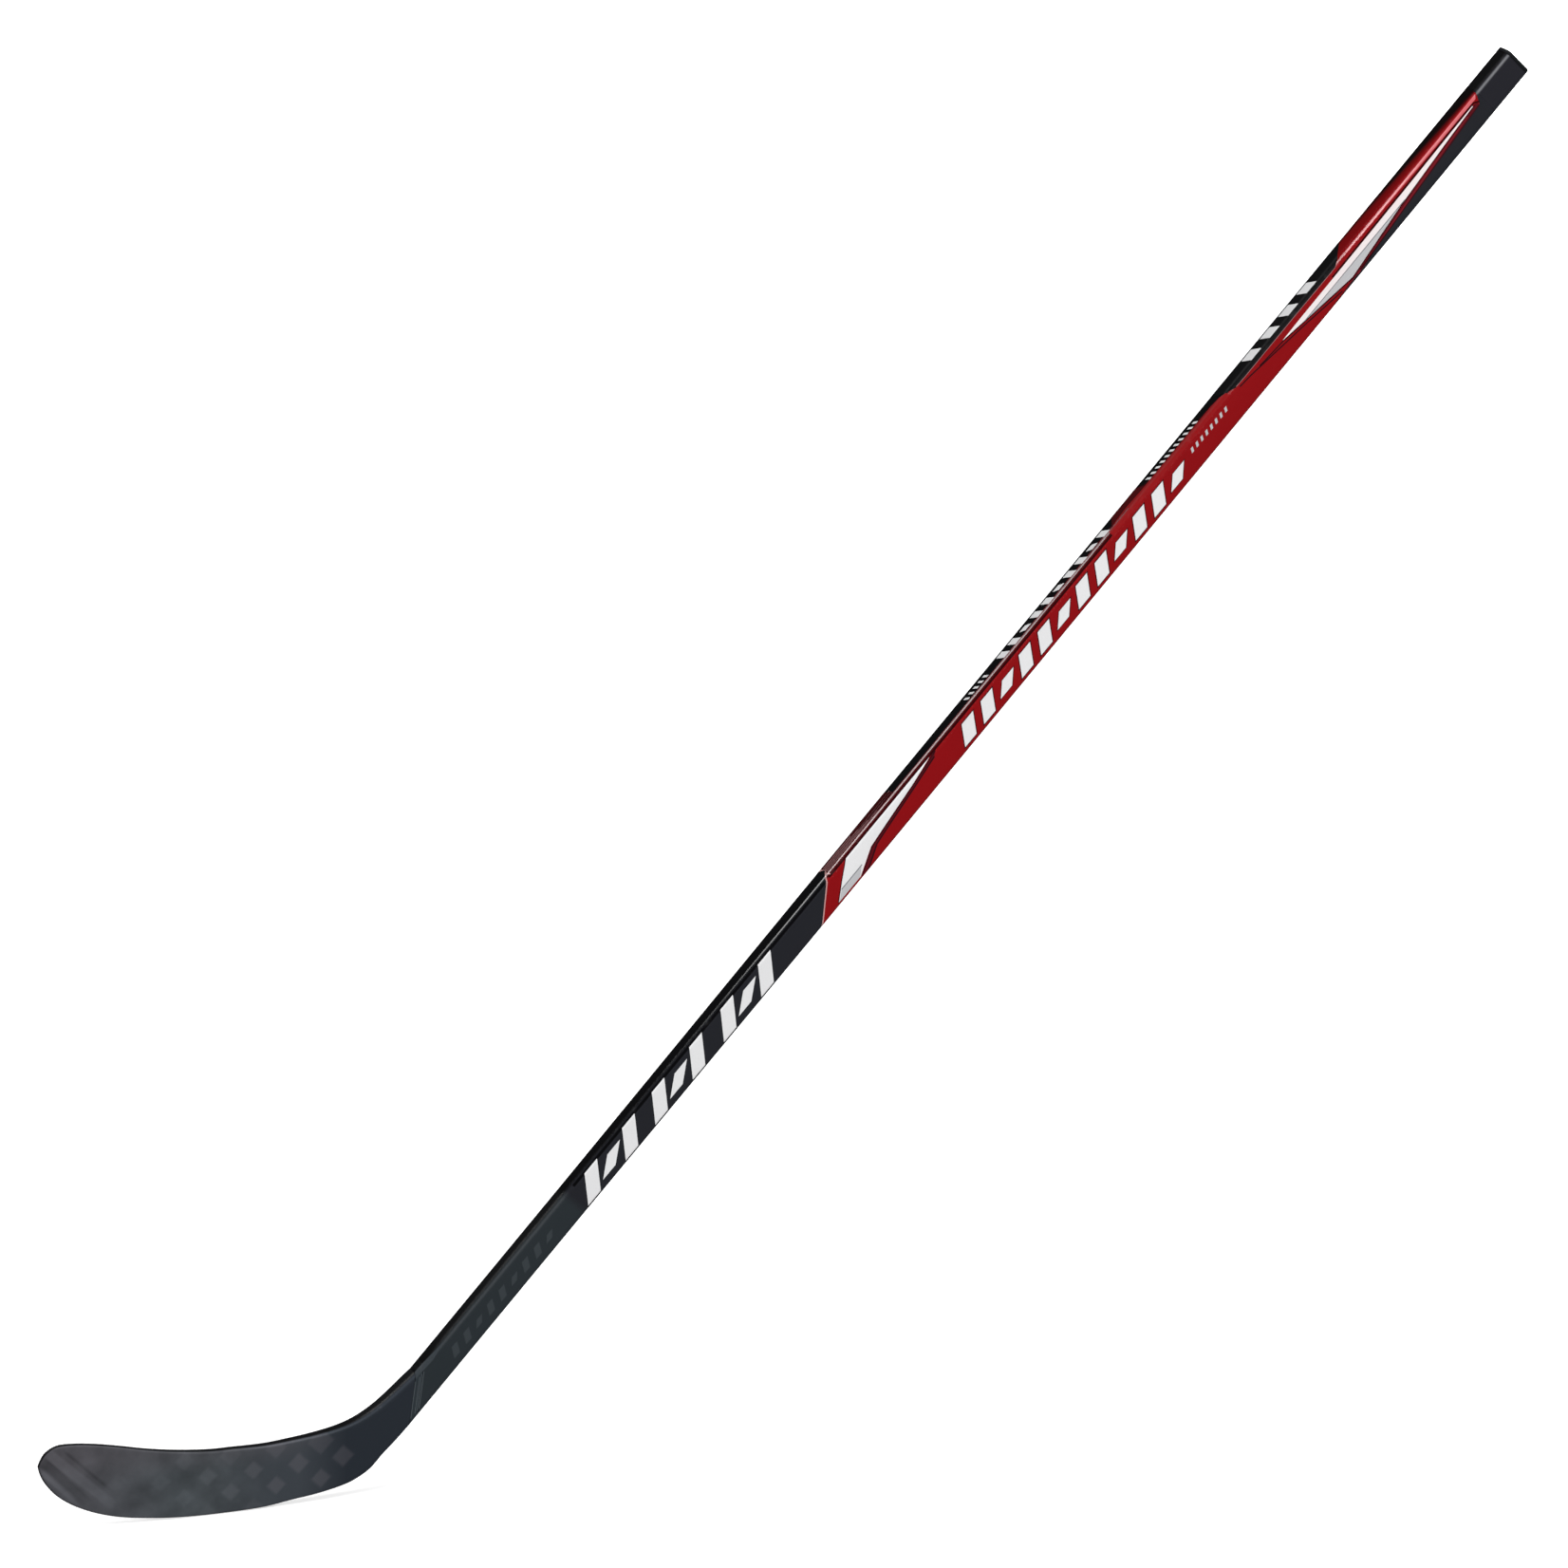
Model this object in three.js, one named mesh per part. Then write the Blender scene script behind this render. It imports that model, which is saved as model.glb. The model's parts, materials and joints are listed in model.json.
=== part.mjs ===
import * as THREE from "three";

// One-piece composite ice hockey stick, in millimetres, standing in its playing pose.
// The sole touches the ice at the origin. The toe points to -X, the butt rises to +X,
// and the blade curves to +Y, which is the forehand side of a left-hand stick.

// Driving dimensions
const stickLength = 1524;
const lieDegrees = 46.5;
const shaftWidth = 28.6;
const gripDepth = 18.8;
const lowerDepth = 15.8;
const shaftCorner = 4.8;
const shaftWall = 1.9;
const taperStart = 300;
const taperEnd = 600;
const bladeLength = 261;
const bladeHeight = 55;
const heelThickness = 11.8;
const toeThickness = 5.6;
const skinWall = 1.2;
const neckWall = 2.1;
const curveDepth = 30;
const curvePower = 2.2;
const faceOpening = 0.08;
const bondGap = 0.3;

// The joint between shaft and blade is a slanted cut
const jointAlong = 96.5;
const jointSlantDegrees = 53.6;
const recessDepth = 0.9;
const recessReach = 5;
const tenonIntoShaft = 60;
const tenonIntoBlade = 20;
const damperLength = 55;
const plugInsert = 42;
const plugFlange = 3;
const ribThickness = 1.6;

const cornerSteps = 4;
const faceSteps = 6;
const stepsPerRow = 3;

// Frame of the shaft: `along` runs up its axis and `across` runs from the lower narrow face to the upper one
const lie = THREE.MathUtils.degToRad(lieDegrees);
const slantRate = Math.tan(THREE.MathUtils.degToRad(jointSlantDegrees));
const heelX = 0.4305 * bladeLength;
const shaftY = -curveOffset(0);

function curveOffset(x) {
  const reach = Math.max(0, heelX - 7 - x) / bladeLength;
  return curveDepth * reach ** curvePower;
}

function middleY(x, z) {
  const reach = Math.max(0, heelX - 7 - x) / bladeLength;
  return shaftY + curveOffset(x) - faceOpening * reach ** 2 * (z - bladeHeight / 2);
}

function shaftPoint(along, across, side) {
  return new THREE.Vector3(
    heelX + along * Math.cos(lie) - across * Math.sin(lie),
    shaftY + side,
    along * Math.sin(lie) + across * Math.cos(lie),
  );
}

function shaftDepthAt(along) {
  const share = THREE.MathUtils.clamp((along - taperStart) / (taperEnd - taperStart), 0, 1);
  return THREE.MathUtils.lerp(lowerDepth, gripDepth, share);
}

// A rounded rectangle from lowV to highV, with half thickness `half`; each end has its own corner height
function roundedLoop(lowV, highV, half, corner, lowStretch, highStretch) {
  const limit = 0.46 * (highV - lowV);
  const lowCorner = Math.min(corner * lowStretch, limit);
  const highCorner = Math.min(corner * highStretch, limit);
  const loop = [];
  const addCorner = (centreV, radiusV, sideSign, from) => {
    for (let i = 0; i <= cornerSteps; i += 1) {
      const angle = from + (i / cornerSteps) * (Math.PI / 2);
      const v = centreV + radiusV * Math.cos(angle);
      const w = sideSign * (half - corner) + corner * Math.sin(angle);
      loop.push([v, w]);
    }
  };
  addCorner(highV - highCorner, highCorner, 1, 0);
  addCorner(lowV + lowCorner, lowCorner, 1, Math.PI / 2);
  addCorner(lowV + lowCorner, lowCorner, -1, Math.PI);
  addCorner(highV - highCorner, highCorner, -1, 1.5 * Math.PI);
  return loop;
}

// Collects triangles over a shared list of points and turns them into one closed mesh
class Body {
  constructor() {
    this.points = [];
    this.faces = [];
  }

  addRing(ring) {
    const first = this.points.length;
    this.points.push(...ring);
    return ring.map((point, i) => first + i);
  }

  quad(a, b, c, d) {
    this.faces.push([a, b, c], [a, c, d]);
  }

  // Joins two rings of the same size, closed or open
  bridge(ringA, ringB, closed = true) {
    const count = closed ? ringA.length : ringA.length - 1;
    for (let i = 0; i < count; i += 1) {
      const next = (i + 1) % ringA.length;
      this.quad(ringA[i], ringA[next], ringB[next], ringB[i]);
    }
  }

  // Closes a ring with triangles round its middle
  fan(ring) {
    const centre = new THREE.Vector3();
    ring.forEach((index) => centre.add(this.points[index]));
    const [middle] = this.addRing([centre.divideScalar(ring.length)]);
    for (let i = 0; i < ring.length; i += 1) {
      this.faces.push([middle, ring[i], ring[(i + 1) % ring.length]]);
    }
  }

  volume() {
    return this.faces.reduce((sum, [a, b, c]) => {
      const cross = new THREE.Vector3().crossVectors(this.points[b], this.points[c]);
      return sum + this.points[a].dot(cross) / 6;
    }, 0);
  }

  toMesh(name, material) {
    const outward = this.volume() > 0;
    const order = outward ? this.faces : this.faces.map(([a, b, c]) => [a, c, b]);
    const geometry = new THREE.BufferGeometry().setFromPoints(this.points);
    geometry.setIndex(order.flat());
    geometry.computeVertexNormals();
    const mesh = new THREE.Mesh(geometry, material);
    mesh.name = name;
    return mesh;
  }
}

function solidFromRings(name, material, rings) {
  const body = new Body();
  const placed = rings.map((ring) => body.addRing(ring));
  for (let i = 1; i < placed.length; i += 1) {
    body.bridge(placed[i - 1], placed[i]);
  }
  body.fan([...placed[0]].reverse());
  body.fan(placed[placed.length - 1]);
  return body.toMesh(name, material);
}

function pipeFromRings(name, material, outerRings, innerRings) {
  const body = new Body();
  const outer = outerRings.map((ring) => body.addRing(ring));
  const inner = innerRings.map((ring) => body.addRing(ring));
  for (let i = 1; i < outer.length; i += 1) {
    body.bridge(outer[i - 1], outer[i]);
  }
  for (let i = 1; i < inner.length; i += 1) {
    body.bridge(inner[i], inner[i - 1]);
  }
  body.bridge(inner[0], outer[0]);
  body.bridge(outer[outer.length - 1], inner[inner.length - 1]);
  return body.toMesh(name, material);
}

// Corner radius of any outer section, shaft or blade, from half its thickness
function cornerFor(half) {
  return Math.min(shaftCorner, 0.61 * half);
}

// A section of the shaft, set back from its outer surface by `inset`; a slanted one follows the joint
function shaftRing(along, inset, slanted, sideInset = inset) {
  const half = shaftDepthAt(along) / 2 - sideInset;
  const corner = Math.max(cornerFor(shaftDepthAt(along) / 2) - inset, 1.2);
  const loop = roundedLoop(inset, shaftWidth - inset, half, corner, 1, 1);
  return loop.map(([across, side]) => {
    const lean = slanted ? (across - shaftWidth / 2) * slantRate : 0;
    return shaftPoint(along + lean, across, side);
  });
}

// Blade stations, from the joint to the toe
// Neck rows: along and inward step of the lower edge, along and outward step of the upper edge,
// then how far the thickness has gone from the shaft's to the heel's
const neckRows = [
  [57.5, 0.6, 100.1, 1.6, 0.075],
  [42.3, 1.6, 85.7, 3.6, 0.275],
  [25.9, 2.0, 69.3, 6.7, 0.575],
  [11.2, 6.7, 52.8, 12.3, 0.850],
];

// Blade rows: share of the blade length from the heel, then lower and upper edge as shares of its height
const bladeRows = [
  [0.036, 0.163, 1.118],
  [0.115, 0.101, 1.061],
  [0.198, 0.063, 1.028],
  [0.287, 0.013, 1.005],
  [0.393, 0.000, 1.018],
  [0.468, 0.000, 1.028],
  [0.569, 0.013, 1.079],
  [0.663, 0.049, 1.152],
  [0.753, 0.111, 1.245],
  [0.831, 0.217, 1.312],
  [0.895, 0.359, 1.342],
  [0.944, 0.530, 1.329],
  [0.978, 0.730, 1.232],
  [0.995, 0.899, 1.102],
  [1.000, 1.007, 1.012],
];

function bladeThickness(share) {
  const taper = toeThickness + (heelThickness - toeThickness) * (1 - share) ** 2;
  const tipShare = THREE.MathUtils.clamp((share - 0.955) / 0.045, 0, 1);
  return taper * (1 - 0.4 * tipShare ** 2);
}

function edgePoint(along, across) {
  const point = shaftPoint(along, across, 0);
  return new THREE.Vector2(point.x, point.z);
}

function jointEdge(across, shift) {
  return edgePoint(jointAlong + shift + (across - shaftWidth / 2) * slantRate, across);
}

const lowPoints = [jointEdge(0, -recessReach)];
const highPoints = [jointEdge(shaftWidth, -recessReach)];
const thicknessPoints = [new THREE.Vector2(lowerDepth, neckWall)];
neckRows.forEach(([lowAlong, lowIn, highAlong, highOut, thinning], i) => {
  const wall = THREE.MathUtils.lerp(neckWall, skinWall, (i + 1) / neckRows.length);
  lowPoints.push(edgePoint(lowAlong, lowIn));
  highPoints.push(edgePoint(highAlong, shaftWidth + highOut));
  const thickness = THREE.MathUtils.lerp(lowerDepth, heelThickness, thinning);
  thicknessPoints.push(new THREE.Vector2(thickness, wall));
});
bladeRows.forEach(([share, low, high]) => {
  const x = heelX - share * bladeLength;
  lowPoints.push(new THREE.Vector2(x, low * bladeHeight));
  highPoints.push(new THREE.Vector2(x, high * bladeHeight));
  thicknessPoints.push(new THREE.Vector2(bladeThickness(share), skinWall));
});
const lowEdge = new THREE.SplineCurve(lowPoints);
const highEdge = new THREE.SplineCurve(highPoints);
const thicknessCurve = new THREE.SplineCurve(thicknessPoints);
const rowCount = lowPoints.length;

// How far a step square to the edge reaches when it is taken along the station's chord
function edgeStretch(tangent, chord) {
  const sine = Math.abs(tangent.x * chord.y - tangent.y * chord.x) / (tangent.length() * chord.length());
  return Math.min(1 / sine, 3);
}

function makeStation(low, high, lowTangent, highTangent, half, wall) {
  const chord = new THREE.Vector2().subVectors(high, low);
  const lowStretch = edgeStretch(lowTangent, chord);
  const highStretch = edgeStretch(highTangent, chord);
  return { low, high, length: chord.length(), lowStretch, highStretch, half, wall };
}

function bladeStation(row) {
  const t = row / (rowCount - 1);
  const low = lowEdge.getPoint(t);
  const high = highEdge.getPoint(t);
  low.y = Math.max(low.y, 0);
  const [thickness, wall] = thicknessCurve.getPoint(t).toArray();
  return makeStation(low, high, lowEdge.getTangent(t), highEdge.getTangent(t), thickness / 2, wall);
}

function jointStation(shift) {
  const direction = new THREE.Vector2(Math.cos(lie), Math.sin(lie));
  const low = jointEdge(0, shift);
  const high = jointEdge(shaftWidth, shift);
  return makeStation(low, high, direction, direction, lowerDepth / 2, neckWall);
}

function stationPoint(station, v, w) {
  const share = v / station.length;
  const x = THREE.MathUtils.lerp(station.low.x, station.high.x, share);
  const z = THREE.MathUtils.lerp(station.low.y, station.high.y, share);
  return new THREE.Vector3(x, middleY(x, z) + w, z);
}

function sectionCorner(station, inset) {
  const half = station.half - inset;
  const outerCorner = cornerFor(station.half);
  return Math.max(outerCorner - inset, 0.3 * half);
}

// One side of a section, from its lower edge round the face to its upper edge
function halfSection(station, inset, sideSign, seam) {
  const lowV = inset * station.lowStretch;
  const highV = station.length - inset * station.highStretch;
  const half = station.half - inset;
  const corner = sectionCorner(station, inset);
  const limit = 0.46 * (highV - lowV);
  const lowCorner = Math.min(corner * station.lowStretch, limit);
  const highCorner = Math.min(corner * station.highStretch, limit);
  const profile = [[lowV, seam]];
  for (let i = 0; i <= cornerSteps; i += 1) {
    const angle = (i / cornerSteps) * (Math.PI / 2);
    profile.push([lowV + lowCorner * (1 - Math.cos(angle)), sideSign * (half - corner + corner * Math.sin(angle))]);
  }
  const flatLow = lowV + lowCorner;
  const flatHigh = highV - highCorner;
  for (let i = 1; i < faceSteps; i += 1) {
    profile.push([THREE.MathUtils.lerp(flatLow, flatHigh, i / faceSteps), sideSign * half]);
  }
  for (let i = 0; i <= cornerSteps; i += 1) {
    const angle = (1 - i / cornerSteps) * (Math.PI / 2);
    profile.push([highV - highCorner * (1 - Math.cos(angle)), sideSign * (half - corner + corner * Math.sin(angle))]);
  }
  profile.push([highV, seam]);
  return profile.map(([v, w]) => stationPoint(station, v, w));
}

// A blade skin: one half of the hollow shell, closed round the toe, with a step for the overwrap
function makeSkin(name, material, sideSign) {
  const seamAt = (station) => 0.25 * station.half + (sideSign * bondGap) / 2;
  const outerStations = [
    { station: jointStation(-bondGap / 2), inset: recessDepth },
    { station: jointStation(-recessReach), inset: recessDepth },
    { station: jointStation(-recessReach), inset: 0 },
  ];
  const innerStations = [
    jointStation(-bondGap / 2),
    jointStation(-recessReach),
    jointStation(-recessReach - 0.01),
  ];
  const lastRow = rowCount - 1;
  const steps = lastRow * stepsPerRow;
  for (let i = 1; i <= steps; i += 1) {
    outerStations.push({ station: bladeStation(i / stepsPerRow), inset: 0 });
    innerStations.push(bladeStation((i / steps) * (lastRow - 1)));
  }
  const body = new Body();
  const outer = outerStations.map(({ station, inset }) => {
    return body.addRing(halfSection(station, inset, sideSign, seamAt(station)));
  });
  const inner = innerStations.map((station) => {
    return body.addRing(halfSection(station, station.wall, sideSign, seamAt(station)));
  });
  const lastPoint = outer[0].length - 1;
  for (let i = 1; i < outer.length; i += 1) {
    body.bridge(outer[i - 1], outer[i], false);
    body.bridge(inner[i], inner[i - 1], false);
    body.quad(inner[i - 1][0], outer[i - 1][0], outer[i][0], inner[i][0]);
    body.quad(outer[i - 1][lastPoint], inner[i - 1][lastPoint], inner[i][lastPoint], outer[i][lastPoint]);
  }
  const outerTip = outer[outer.length - 1];
  const innerTip = inner[inner.length - 1];
  body.fan(outerTip);
  body.fan([...innerTip].reverse());
  body.quad(outerTip[0], outerTip[lastPoint], innerTip[lastPoint], innerTip[0]);
  body.bridge(inner[0], outer[0], false);
  return body.toMesh(name, material);
}

// A filling piece between two heights of the hollow blade, given as shares of the inner height
function makeFilling(name, material, firstRow, endRow, lowShare, highShare, lowTrim, highTrim) {
  const rings = [];
  const steps = Math.round((endRow - firstRow) * stepsPerRow);
  for (let i = 0; i <= steps; i += 1) {
    const station = bladeStation(firstRow + ((endRow - firstRow) * i) / steps);
    const inset = station.wall + bondGap;
    const innerLow = inset * station.lowStretch;
    const innerHigh = station.length - inset * station.highStretch;
    const lowV = THREE.MathUtils.lerp(innerLow, innerHigh, lowShare) + lowTrim;
    const highV = THREE.MathUtils.lerp(innerLow, innerHigh, highShare) - highTrim;
    const half = station.half - inset;
    const corner = Math.min(sectionCorner(station, inset), 0.4 * (highV - lowV));
    const loop = roundedLoop(lowV, highV, half, corner, station.lowStretch, station.highStretch);
    rings.push(loop.map(([v, w]) => stationPoint(station, v, w)));
  }
  return solidFromRings(name, material, rings);
}

function makeMaterial(name, color, roughness, metalness = 0) {
  return new THREE.MeshStandardMaterial({ name, color, roughness, metalness });
}

const satinBlack = makeMaterial("satin_black", 0x2c2d32, 0.45);
const rubberBlack = makeMaterial("plug_black", 0x1c1c1e, 0.7);
const bladeGrey = makeMaterial("blade_grey", 0x3f4246, 0.5);
const wrapBlack = makeMaterial("wrap_black", 0x2a2d31, 0.4);
const carbon = makeMaterial("raw_carbon", 0x202124, 0.6);
const foamWhite = makeMaterial("core_foam", 0xd9d6c8, 0.9);
const foamGrey = makeMaterial("damper_foam", 0x77797c, 0.95);

// Shaft: a straight hollow tube, slightly thinner across its narrow faces near the blade
const tubeEnd = stickLength - plugFlange - bondGap;
const tubeOuter = [
  shaftRing(jointAlong + bondGap / 2, recessDepth, true),
  shaftRing(jointAlong + recessReach, recessDepth, true),
  shaftRing(jointAlong + recessReach, 0, true),
  shaftRing(taperStart, 0, false),
  shaftRing(taperEnd, 0, false),
  shaftRing(tubeEnd, 0, false),
];
const tubeInner = [
  shaftRing(jointAlong + bondGap / 2, shaftWall, true),
  shaftRing(taperStart, shaftWall, false),
  shaftRing(taperEnd, shaftWall, false),
  shaftRing(tubeEnd, shaftWall, false),
];
const shaftTube = pipeFromRings("shaft_tube", satinBlack, tubeOuter, tubeInner);

// Butt end plug: an insert in the open tube and a flange flush with the shaft
const insertInset = shaftWall + bondGap;
const buttPlug = solidFromRings("butt_end_plug", rubberBlack, [
  shaftRing(tubeEnd - plugInsert, insertInset + 1, false),
  shaftRing(tubeEnd - plugInsert + 3, insertInset, false),
  shaftRing(stickLength - plugFlange, insertInset, false),
  shaftRing(stickLength - plugFlange, 0, false),
  shaftRing(stickLength - 0.8, 0, false),
  shaftRing(stickLength, 0.8, false),
]);

// Tenon: fills the shaft's lower end and the blade's neck, so it ties them together
const tenonTop = jointAlong + tenonIntoShaft;
const tenonInset = Math.max(shaftWall, neckWall) + bondGap;
const bladeTenon = solidFromRings("blade_tenon", carbon, [
  shaftRing(jointAlong - tenonIntoBlade, tenonInset + 1.8, true),
  shaftRing(jointAlong, tenonInset, true),
  shaftRing(tenonTop, tenonInset, false),
]);
const damper = solidFromRings("damper_foam", foamGrey, [
  shaftRing(tenonTop + bondGap, insertInset, false),
  shaftRing(tenonTop + bondGap + damperLength, insertInset, false),
]);

// Overwrap: a thin band in the recess over the joint, flush with the shaft and the neck
const bandReach = recessReach - bondGap;
const overwrap = pipeFromRings(
  "joint_overwrap",
  wrapBlack,
  [shaftRing(jointAlong - bandReach, 0, true), shaftRing(jointAlong + bandReach, 0, true)],
  [
    shaftRing(jointAlong - bandReach, recessDepth - bondGap, true),
    shaftRing(jointAlong + bandReach, recessDepth - bondGap, true),
  ],
);

const forehandSkin = makeSkin("blade_forehand_skin", bladeGrey, 1);
const backhandSkin = makeSkin("blade_backhand_skin", bladeGrey, -1);

// Two foam cores, one above the other, with a stiffening rib laid between them
const coreStart = 2;
const coreEnd = rowCount - 4;
const ribTrim = ribThickness / 2 + bondGap;
const coreLower = makeFilling("blade_core_lower", foamWhite, coreStart, coreEnd, 0, 0.5, 0, ribTrim);
const coreUpper = makeFilling("blade_core_upper", foamWhite, coreStart, coreEnd, 0.5, 1, ribTrim, 0);
const coreRib = makeFilling(
  "blade_core_rib",
  carbon,
  coreStart,
  coreEnd,
  0.5,
  0.5,
  -ribThickness / 2,
  -ribThickness / 2,
);

const stick = new THREE.Group();
stick.add(
  shaftTube,
  buttPlug,
  bladeTenon,
  damper,
  overwrap,
  forehandSkin,
  backhandSkin,
  coreLower,
  coreUpper,
  coreRib,
);

export default stick;
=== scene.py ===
import json
import math

import bmesh
import bpy
import numpy as np
from mathutils import Matrix, Vector


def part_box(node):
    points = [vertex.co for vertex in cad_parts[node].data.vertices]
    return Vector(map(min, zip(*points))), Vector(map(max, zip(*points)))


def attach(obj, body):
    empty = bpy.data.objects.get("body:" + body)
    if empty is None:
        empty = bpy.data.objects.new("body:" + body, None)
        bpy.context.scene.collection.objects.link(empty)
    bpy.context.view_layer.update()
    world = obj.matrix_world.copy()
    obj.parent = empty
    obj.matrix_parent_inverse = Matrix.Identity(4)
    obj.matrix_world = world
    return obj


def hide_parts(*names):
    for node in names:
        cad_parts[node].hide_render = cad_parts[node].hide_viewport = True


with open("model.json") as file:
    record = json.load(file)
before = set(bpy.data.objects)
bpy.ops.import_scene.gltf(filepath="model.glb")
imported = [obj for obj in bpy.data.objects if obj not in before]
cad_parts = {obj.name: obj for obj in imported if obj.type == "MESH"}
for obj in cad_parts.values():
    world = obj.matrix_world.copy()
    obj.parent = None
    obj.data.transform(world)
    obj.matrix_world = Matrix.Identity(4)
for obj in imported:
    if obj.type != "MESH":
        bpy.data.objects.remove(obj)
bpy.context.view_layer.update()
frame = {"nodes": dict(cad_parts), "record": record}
mm = 0.001
# tolerances in metres: points merged after a build, plates closed in a node tree, cuts
weldDistance = 2e-7
plateMerge = 1e-6
cutDistance = 1e-7

# lengths in mm; the shaft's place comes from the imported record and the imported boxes
stick = {
    "length": 1524,
    "width": 28.6,
    "corner": 4.8,
    "taperStart": 300,
    "taperEnd": 600,
    "lowerDepth": 15.8,
    "wall": 1.9,
}
mounts = {mount["name"]: mount for mount in frame["record"]["mounts"]}
buttEnd = Vector(mounts["butt_end"]["pos_m"])
alongAxis = Vector(mounts["butt_end"]["axis"]).normalized()
acrossAxis = Vector((-alongAxis.z, 0, alongAxis.x))
sideAxis = Vector((0, 1, 0))
shaftOrigin = buttEnd - alongAxis * stick["length"] * mm - acrossAxis * stick["width"] * mm / 2
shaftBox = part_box("shaft_tube")
stick["gripDepth"] = (shaftBox[1].y - shaftBox[0].y) / mm
# the slanted joint of shaft and blade, under the band
joint = {
    "along": 96.5,
    "slant": math.tan(math.radians(53.6)),
    "recess": 0.9,
    "reach": 5,
    "gap": 0.3,
    "edge": 0.25,
}
lie = math.atan2(alongAxis.z, alongAxis.x)
print("stage: CAD loaded")


def plug(tree, socket, value):
    if isinstance(value, Number):
        value = value.value
    if isinstance(value, bpy.types.NodeSocket):
        tree.links.new(value, socket)
    else:
        socket.default_value = value


def feed(tree, node, inputs):
    for key, value in inputs.items():
        plug(tree, node.inputs[key], value)


def add(tree, kind, inputs={}, **settings):
    node = tree.nodes.new(kind)
    for key, value in settings.items():
        setattr(node, key, value)
    feed(tree, node, inputs)
    return node


class Number:  # a value in a node tree, so that sums read as sums
    def __init__(self, tree, value):
        self.tree, self.value = tree, value

    def calc(self, operation, *others):
        node = self.tree.nodes.new("ShaderNodeMath")
        node.operation = operation
        for socket, item in zip(node.inputs, (self, *others)):
            plug(self.tree, socket, item)
        return Number(self.tree, node.outputs[0])

    def __add__(self, other):
        return self.calc("ADD", other)

    def __sub__(self, other):
        return self.calc("SUBTRACT", other)

    def __mul__(self, other):
        return self.calc("MULTIPLY", other)

    def __truediv__(self, other):
        return self.calc("DIVIDE", other)

    def clamp(self, low, high):
        return self.calc("MAXIMUM", low).calc("MINIMUM", high)

    def sin(self):
        return self.calc("SINE")

    def cos(self):
        return self.calc("COSINE")

    def ramp(self, low, high):  # 0 at low, 1 at high
        return ((self - low) / (high - low)).clamp(0, 1)


def axes(tree, vector):  # the parts of a vector, as numbers
    return [Number(tree, part) for part in add(tree, "ShaderNodeSeparateXYZ", {0: vector}).outputs]


def combined(tree, **parts):
    return add(tree, "ShaderNodeCombineXYZ", parts).outputs[0]


def scaled(tree, vector, amount):
    return add(tree, "ShaderNodeVectorMath", {0: vector, "Scale": amount}, operation="SCALE").outputs[0]


def newTree(name, treeKind, given, made):  # sockets are given as label and kind
    tree = bpy.data.node_groups.new(name, treeKind)
    for sockets, end in ((given, "INPUT"), (made, "OUTPUT")):
        for label, kind in sockets.items():
            tree.interface.new_socket(label, in_out=end, socket_type="NodeSocket" + kind)
    return tree, tree.nodes.new("NodeGroupInput").outputs, tree.nodes.new("NodeGroupOutput").inputs


def newGeometryTree(name, sockets):
    shape = {"Geometry": "Geometry"}
    return newTree(name, "GeometryNodeTree", {**shape, **sockets}, shape)


sharpAngle = 35  # degrees


def newObject(name, data):
    made = bpy.data.objects.new(name, data)
    bpy.context.scene.collection.objects.link(made)
    return made


def finishPiece(piece, slot, *replaced, fillEnds=False):
    shape = bmesh.new()
    shape.from_mesh(piece.data)
    bmesh.ops.remove_doubles(shape, verts=shape.verts, dist=weldDistance)
    if fillEnds:
        bmesh.ops.holes_fill(shape, edges=shape.edges, sides=0)
    bmesh.ops.recalc_face_normals(shape, faces=shape.faces)
    shape.to_mesh(piece.data)
    shape.free()
    piece.data.shade_smooth()
    piece.data.set_sharp_from_angle(angle=math.radians(sharpAngle))
    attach(piece, "root")
    if replaced:
        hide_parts(*replaced)
    return piece


def bake(name, mesh, tree, values):
    holder = newObject(name, mesh)
    modifier = holder.modifiers.new("shape", "NODES")
    modifier.node_group = tree
    for item in tree.interface.items_tree:
        if item.in_out == "INPUT" and item.name in values:
            modifier[item.identifier] = values[item.name]
    bpy.context.view_layer.update()
    graph = bpy.context.evaluated_depsgraph_get()
    made = bpy.data.meshes.new_from_object(holder.evaluated_get(graph))
    bpy.data.objects.remove(holder)
    piece = newObject(name, made)
    made.name = name
    return piece


# A flat drawing has X along the shaft from the heel, Y around it and Z outward, in metres.
# Around is 0 on the corner between the upper narrow face and the backhand face.
# It grows onto the backhand face.
def shaftValues(material, side=1):
    return {
        "Width": stick["width"] * mm,
        "Corner": stick["corner"] * mm,
        "Grip depth": stick["gripDepth"] * mm,
        "Lower depth": stick["lowerDepth"] * mm,
        "Taper start": stick["taperStart"] * mm,
        "Taper end": stick["taperEnd"] * mm,
        "Slant": joint["slant"],
        "Origin": shaftOrigin,
        "Along": alongAxis,
        "Across": acrossAxis,
        "Side": sideAxis * side,
        "Material": material,
    }


def socketKind(value):
    return "Vector" if isinstance(value, Vector) else "Float" if value else "Material"


shaftSockets = {label: socketKind(value) for label, value in shaftValues(None).items()}


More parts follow.
